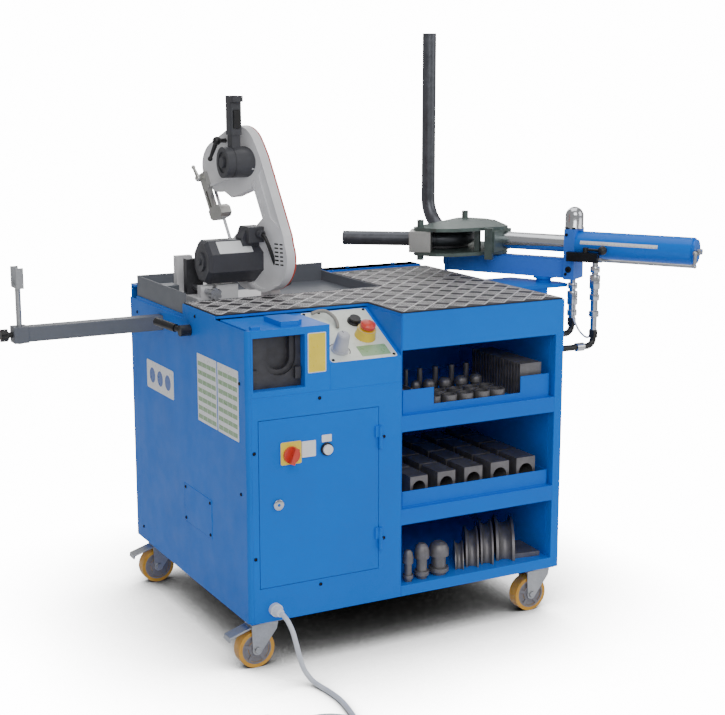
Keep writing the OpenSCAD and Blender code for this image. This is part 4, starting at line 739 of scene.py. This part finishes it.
leftPlates = {"discs": (-712, 483, -500, 565, 6), "discPlaces": (-667, -606, -545), "discHeight": 524,
              "discRadius": 22, "chart": (-322, 468, -50, 650, 3), "sheetWide": 132, "secondAt": 138,
              "rows": 7, "rowMargin": 8, "cells": 4, "cellMargin": 6, "cellPitch": 30.5, "cellWide": 28.5}
b = bmesh.new()
addPrism(b, roundRect(*leftPlates["discs"]), 0.02, 0.5)
x0, y0, x1, y1, r = leftPlates["chart"]
addPrism(b, roundRect(x0, y0, x0 + leftPlates["sheetWide"], y1, r), 0.02, 0.4)
addPrism(b, roundRect(x0 + leftPlates["secondAt"], y0, x1, y1, r), 0.02, 0.4)
piece("leftPlates", b, leftFrame, "cabinet", "plateWhite")
b = bmesh.new()
for x in leftPlates["discPlaces"]:
    addLathe(b, [(0, 0.75), (leftPlates["discRadius"] - 0.3, 0.75), (leftPlates["discRadius"], 0.5)],
             Matrix.Translation((x, leftPlates["discHeight"], 0)), 48)
piece("leftDiscs", b, leftFrame, "cabinet", "plateBlue")
b = bmesh.new()
rowHigh = (y1 - y0 - 2 * leftPlates["rowMargin"]) / (2 * leftPlates["rows"])
for row in range(leftPlates["rows"]):
    y = y0 + leftPlates["rowMargin"] + 2 * row * rowHigh
    for sheetAt in (0, leftPlates["secondAt"]):
        for k in range(leftPlates["cells"]):
            x = x0 + sheetAt + leftPlates["cellMargin"] + leftPlates["cellPitch"] * k
            addBox(b, (x, y, 0.4), (x + leftPlates["cellWide"], y + rowHigh, 0.55))
piece("leftChart", b, leftFrame, "cabinet", "plateGreen")

door = {"switch": (89, 409, 147, 468, 5), "plate": (149, 422, 188, 464, 2), "small": (205, 455, 233, 474, 2),
        "reset": (219, 436), "lock": (82, 308),
        "resetShape": [(13.2, 5.5), (13.4, 6.4), (16.0, 6.4), (16.6, 5.6), (17.2, 0.1)],
        "lockShape": [(0, 3.8), (4, 3.8), (4, 5.6), (12.4, 5.6), (14.3, 4.6), (14.6, 0.1)]}
b = bmesh.new()
addPrism(b, roundRect(*door["switch"]), 2.02, 3.0, 0.3)
piece("switchPlate", b, frontFrame, "door", "plateYellow")
b = bmesh.new()
addPrism(b, roundRect(*door["plate"]), 1.02, 1.5)
addPrism(b, roundRect(*door["small"]), 1.02, 1.5)
piece("doorPlates", b, frontFrame, "door", "plateWhite")
b = bmesh.new()
addLathe(b, door["resetShape"], Matrix.Translation((*door["reset"], 0)), 48)
piece("resetBase", b, frontFrame, "door", "blackPlastic")
b = bmesh.new()
addLathe(b, door["lockShape"], Matrix.Translation((*door["lock"], 0)), 48)
piece("lockInsert", b, frontFrame, "door", "chrome")

strip = {"lo": (612, 772, 766.1), "hi": (945, 830, 771), "screws": [(650, 801), (906, 801)]}
b = bmesh.new()
addBox(b, strip["lo"], strip["hi"], 1.2)
piece("rearStrip", b, cabFrame, "cabinet", "plateWhite")
screw = bmesh.new()
addButton(screw, 1.1)
stripPlaces = [(Matrix.Translation((x, y, strip["hi"][2])), whole) for x, y in strip["screws"]]
copies("stripScrews", screw, stripPlaces, cabFrame, "cabinet", "blackSteel")
print("plates set")


# Bender: scale on the barrel, bright dome and return pipe, black valve block, caps and screws
acrossRam = Matrix(((0, 0, 1, 0), (1, 0, 0, 0), (0, 1, 0, 0), (0, 0, 0, 1)))
cylinder = {"radius": 39, "scale": (124, 352), "scaleAngles": (157, 172), "tickPitch": 4, "tickStart": 3,
            "dome": (91, 0, 46), "domeHigh": 36, "domeRadius": 26.3, "pipe": (185, -47, -36), "pipeEnd": 462,
            "pipeRadius": 4.9, "pipeBend": 10}
b = bmesh.new()
r = cylinder["radius"]
first, last = cylinder["scaleAngles"]
scaleOutline = arc(0, 0, r + 0.35, first, last, 10) + arc(0, 0, r + 0.05, last, first, 10)
addPrism(b, scaleOutline, *cylinder["scale"], 0, acrossRam)
piece("barrelScale", b, ramFrame, "bender", "plateWhite", 60)
tickPlaces = []
scaleStart, scaleEnd = cylinder["scale"]
for i in range(int((scaleEnd - scaleStart) / cylinder["tickPitch"])):
    angle = math.radians(last - (3.2 if i % 5 else 4.6))
    out = Vector((0, math.cos(angle), math.sin(angle)))
    s = scaleStart + cylinder["tickStart"] + cylinder["tickPitch"] * i
    place = along(Vector((s, 0, 0)) + (r + 0.3) * out, out)
    side = place.to_3x3().inverted() @ Vector((1, 0, 0))
    place = place @ Matrix.Rotation(math.atan2(side.y, side.x), 4, "Z")
    tickPlaces.append((place, (0.7, 3.2 if i % 5 else 5.6, 0.2)))
tick = bmesh.new()
addTaper(tick, 0.95)
copies("scaleTicks", tick, tickPlaces, ramFrame, "bender", "blackPlastic")
b = bmesh.new()
dr, dh = cylinder["domeRadius"], cylinder["domeHigh"]
addLathe(b, [(dr + 1.6, 0.2), (dr + 1.6, 3), (dr, 4.4), (dr, dh)]
         + [(x, dh + y) for x, y in arc(0, 0, dr, 6, 84, 14)] + [(0, dh + dr)],
         Matrix.Translation(cylinder["dome"]), 64)
piece("domeCover", b, ramFrame, "bender", "chrome", 50)
b = bmesh.new()
px, py, pz = cylinder["pipe"]
pe = cylinder["pipeEnd"]
bend = cylinder["pipeBend"]
pipeElbow = arc(pe - bend, pz + bend, bend, -90, 0, 8)
pipeLine = [(px + 0.3, pz), (px + 20, pz)] + pipeElbow + [(pe, -12), (pe, 0.5)]
addTube(b, [Vector((x, py, z)) for x, z in pipeLine], cylinder["pipeRadius"], 20)
for z, size in ((pz, 5.8), (0, 6.9)):
    addLathe(b, [(0, -size)] + [(x, y) for x, y in arc(0, 0, size, -80, 80, 12)] + [(0, size)],
             Matrix.Translation((pe, py, z)), 28)
addLathe(b, [(8.6, 0), (8.6, 3), (6.2, 4), (6.2, -py - 8)], along((pe, py + 3, 0), (0, 1, 0)), 28)
addLathe(b, [(8.4, 0), (9.4, 1), (9.4, 10), (8.4, 14.3), (0, 14.3)], along((454, 0, 0), (1, 0, 0)), 6)
addLathe(b, [(6.6, 0), (7.6, 1), (7.6, 9), (5.4, 10)], along((px + 0.2, py, pz), (1, 0, 0)), 6)
piece("returnPipe", b, ramFrame, "bender", "zinc", 40)
blacks = {"valve": ((92.7, -64.35, -42.3), (185.3, -40.8, -15.86)),
          "beamCap": (-308.9, 0, -72), "flangePlug": (91, -39, -70),
          "topScrews": [(s, t, 46) for s in (80, 102) for t in (-32, 32)],
          "frontScrews": [(83, -39, z) for z in (-84, 30)],
          "capShape": [(15.3, 0), (15.3, 10), (13, 12.4), (6, 12.4), (6, 9), (0, 9)],
          "plugShape": [(9, 0), (9, 3.4), (7.6, 4.6), (3.4, 4.6), (3.4, 2), (0, 2)],
          "topShape": [(5, 0), (5, 4), (4, 5), (2.4, 5), (2.4, 2.4), (0, 2.4)],
          "frontShape": [(4.4, 0), (4.4, 3), (3.4, 4), (2, 4), (2, 2), (0, 2)]}
b = bmesh.new()
addBox(b, *blacks["valve"])
addLathe(b, blacks["capShape"], along(blacks["beamCap"], (-1, 0, 0)), 40)
addLathe(b, blacks["plugShape"], along(blacks["flangePlug"], (0, -1, 0)), 32)
for spot in blacks["topScrews"]:
    addLathe(b, blacks["topShape"], along(spot, (0, 0, 1)), 20)
for spot in blacks["frontScrews"]:
    addLathe(b, blacks["frontShape"], along(spot, (0, -1, 0)), 20)
piece("benderBlacks", b, ramFrame, "bender", "blackSteel")

# Quick couplers and hoses between the cabinet and the bender
hoses = [{"at": (1129.6, 209.7), "low": 622, "top": 784}, {"at": (1137.9, 116.1), "low": 600, "top": 842}]
hoseFit = {"bend": 22, "radius": 9, "pipe": 9.4, "wall": 948.5, "rosetteAt": 950.2, "ferruleBack": 34,
           "longTail": 170, "blend": ((1130, 160, 640), (1130, 160, 780)), "leakRadius": 3}
couplerShape = [(8.5, 0), (8.5, 12), (13, 13), (14, 15), (14, 28), (13, 30), (9.6, 31), (9.6, 37),
                (14.6, 38), (15.4, 40), (15.4, 56), (14.2, 57), (14.2, 59), (15.4, 60), (15.4, 75), (14, 77),
                (11.6, 78), (11.6, 92), (14, 93), (14.4, 95), (14.4, 108), (13, 110), (10.4, 111)]
longShape = [(10.4, 140), (14.4, 142), (14.4, 156), (12.6, 158), (9.4, 159)]      # of the longer hose
leakRoute = [(1126, 196, 668), (1134, 178, 634), (1142, 150, 618), (1146, 128, 640), (1146, 124, 690)]
metal, rubber, leak = bmesh.new(), bmesh.new(), bmesh.new()
bend = hoseFit["bend"]
for hose in hoses:
    x, y = hose["at"]
    low, top = hose["low"], hose["top"]
    tail = top - low - 36
    shape = couplerShape + (longShape if tail > hoseFit["longTail"] else [])
    shape = [(0, 0)] + shape + [(hoseFit["pipe"], tail), (0, tail)]
    addLathe(metal, shape, along((x, y, top), (0, 0, -1)), 36)
    elbow = [(x - bend + u, low + bend + v) for u, v in arc(0, 0, bend, 0, -90, 10)]
    hoseLine = [(x, low + 48)] + elbow + [(x - 60, low), (hoseFit["wall"], low)]
    addTube(rubber, [Vector((u, y, v)) for u, v in hoseLine], hoseFit["radius"], 20)
    addLathe(rubber, [(13.5, 0), (13.5, 20), (12.4, 22), (9, 23)], along((x, y, low + 24), (0, 0, 1)), 6)
    ferrule = along((x - hoseFit["ferruleBack"], y, low), (-1, 0, 0))
    addLathe(metal, [(9.2, 0), (12.4, 1), (12.4, 26), (9.2, 27)], ferrule, 30)
    rosette = along((hoseFit["rosetteAt"], y, low), (1, 0, 0))
    addLathe(rubber, [(16, 0), (16, 8), (14, 10), (9, 10.5)], rosette, 6)
addTube(leak, smoothRoute(leakRoute, 12), hoseFit["leakRadius"], 12)
hoseMetal = toObject("hoseCouplers", metal, cabFrame, "chrome", 40)
hoseRubber = toObject("hoseTails", rubber, cabFrame, "cableBlack", 40)
hoseLeak = toObject("hoseLeak", leak, cabFrame, "cableWhite", 40)
for obj, slotName in ((hoseMetal, "chrome"), (hoseRubber, "black_plastic"), (hoseLeak, "white_cable")):
    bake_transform(obj)
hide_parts("hoses")
print("bender dressed")


# Castors: grey hubs with spokes and bolted axles
castor = {"left": 62, "right": 912, "front": 48, "back": 770, "trail": 31, "axle": -80, "half": 17,
          "forkHalf": 23, "spokes": 5, "spokeTurn": 18}
half = castor["half"]
hubShape = [(14.3, half + 1.2), (15, half + 0.4), (21, half + 0.4), (22.2, half - 0.6), (22.2, half - 3.8),
            (35.8, half - 3.8), (35.8, half - 0.4), (36.6, half + 0.5), (39.4, half + 0.5),
            (40.2, half + 0.05)]
capShape = [(6.4, half + 2.2), (13.2, half + 2.2), (14.2, half + 1.6), (14.3, half + 1.2)]
spokeBox = ((20, -4.2, half - 4), (37, 4.2, half - 0.2))
for corner, x, y in (("front_left", "left", "front"), ("front_right", "right", "front"),
                     ("back_left", "left", "back"), ("back_right", "right", "back")):
    middle = Vector((castor[x] - castor["trail"], castor[y], castor["axle"]))
    hub, nut = bmesh.new(), bmesh.new()
    for out in (-1, 1):
        place = along(middle, (0, out, 0))
        addLathe(hub, hubShape, place, 48)
        addLathe(hub, capShape, place, 40)
        for k in range(castor["spokes"]):
            spokeAngle = 360 / castor["spokes"] * k + castor["spokeTurn"]
            addBox(hub, *spokeBox, 0.8, place @ turned(spokeAngle, "Z"))
        nutPlace = along(middle + Vector((0, out * castor["forkHalf"], 0)), (0, out, 0))
        addLathe(nut, [(10, 0.05), (10, 1), (9.2, 1.4), (9.2, 1.6)], nutPlace, 30)
        addLathe(nut, [(9.2, 1.6), (9.2, 5), (8.2, 6), (0, 6)], nutPlace, 6)
    piece("hub_" + corner, hub, cabFrame, "wheel_" + corner, "hubGrey")
    piece("nuts_" + corner, nut, cabFrame, "fork_" + corner, "zinc")
print("castors dressed")


# Saw: bare motor plate, terminal box, vents of the bow drawn as black sheets of painted shade, and the cable
hingeFrame = cabFrame @ Matrix.Translation(saw["hinge"])
motor = {"flat": 58, "plate": (-108, -21, -10, 20, 2), "plateTurn": 45, "box": ((-26, -64, 52), (18, -4, 94)),
         "gland": (4, -62, 76), "glandOut": (0.25, -1, -0.1),
         "glandShape": [(12, 0), (12, 8), (10.6, 9), (10.6, 16), (7, 18), (6.2, 18)]}
b = bmesh.new()
addPrism(b, roundRect(*motor["plate"]), motor["flat"] + 0.03, motor["flat"] + 0.5)
motorFrame = hingeFrame @ turned(motor["plateTurn"], "X")
piece("motorPlate", b, motorFrame, "saw_bow", "plateWhite")
b = bmesh.new()
addBox(b, *motor["box"], 6)
addLathe(b, motor["glandShape"], along(motor["gland"], motor["glandOut"]), 32)
piece("terminalBox", b, hingeFrame, "saw_bow", "gripDark")
# Thin black sheets on the bow's face stand for the vent slots: painted shade in the openings
vents = {"rows": 6, "top": 42, "pitch": 11, "lean": 0.5, "columns": ((-112, 15), (-131, 12)), "high": 4.2,
         "deep": 0.4}
vent = bmesh.new()
addTaper(vent, 0.9)
ventPlaces = []
for k in range(vents["rows"]):
    for column, reach in vents["columns"]:
        spot = (-0.02, column - vents["lean"] * k, vents["top"] - vents["pitch"] * k)
        ventPlace = Matrix.Translation(spot) @ turned(-90, "Y") @ turned(90, "Z")
        ventPlaces.append((ventPlace, (reach, vents["high"], vents["deep"])))
copies("bowVents", vent, ventPlaces, sawFrame, "saw_bow", "blackPlastic")
cable = {"radius": 5, "blend": ((90, -66, -66), (10, -86, 66))}
cableRoute = [(8, -78, 74), (12, -86, 66), (20, -94, 40), (32, -96, 4), (48, -92, -34), (72, -80, -64),
              (96, -60, -66)]
b = bmesh.new()
addTube(b, smoothRoute(cableRoute, 10), cable["radius"], 16)
sawCable = toObject("sawCable", b, hingeFrame, "cableBlack", 50)
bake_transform(sawCable)
print("saw dressed")
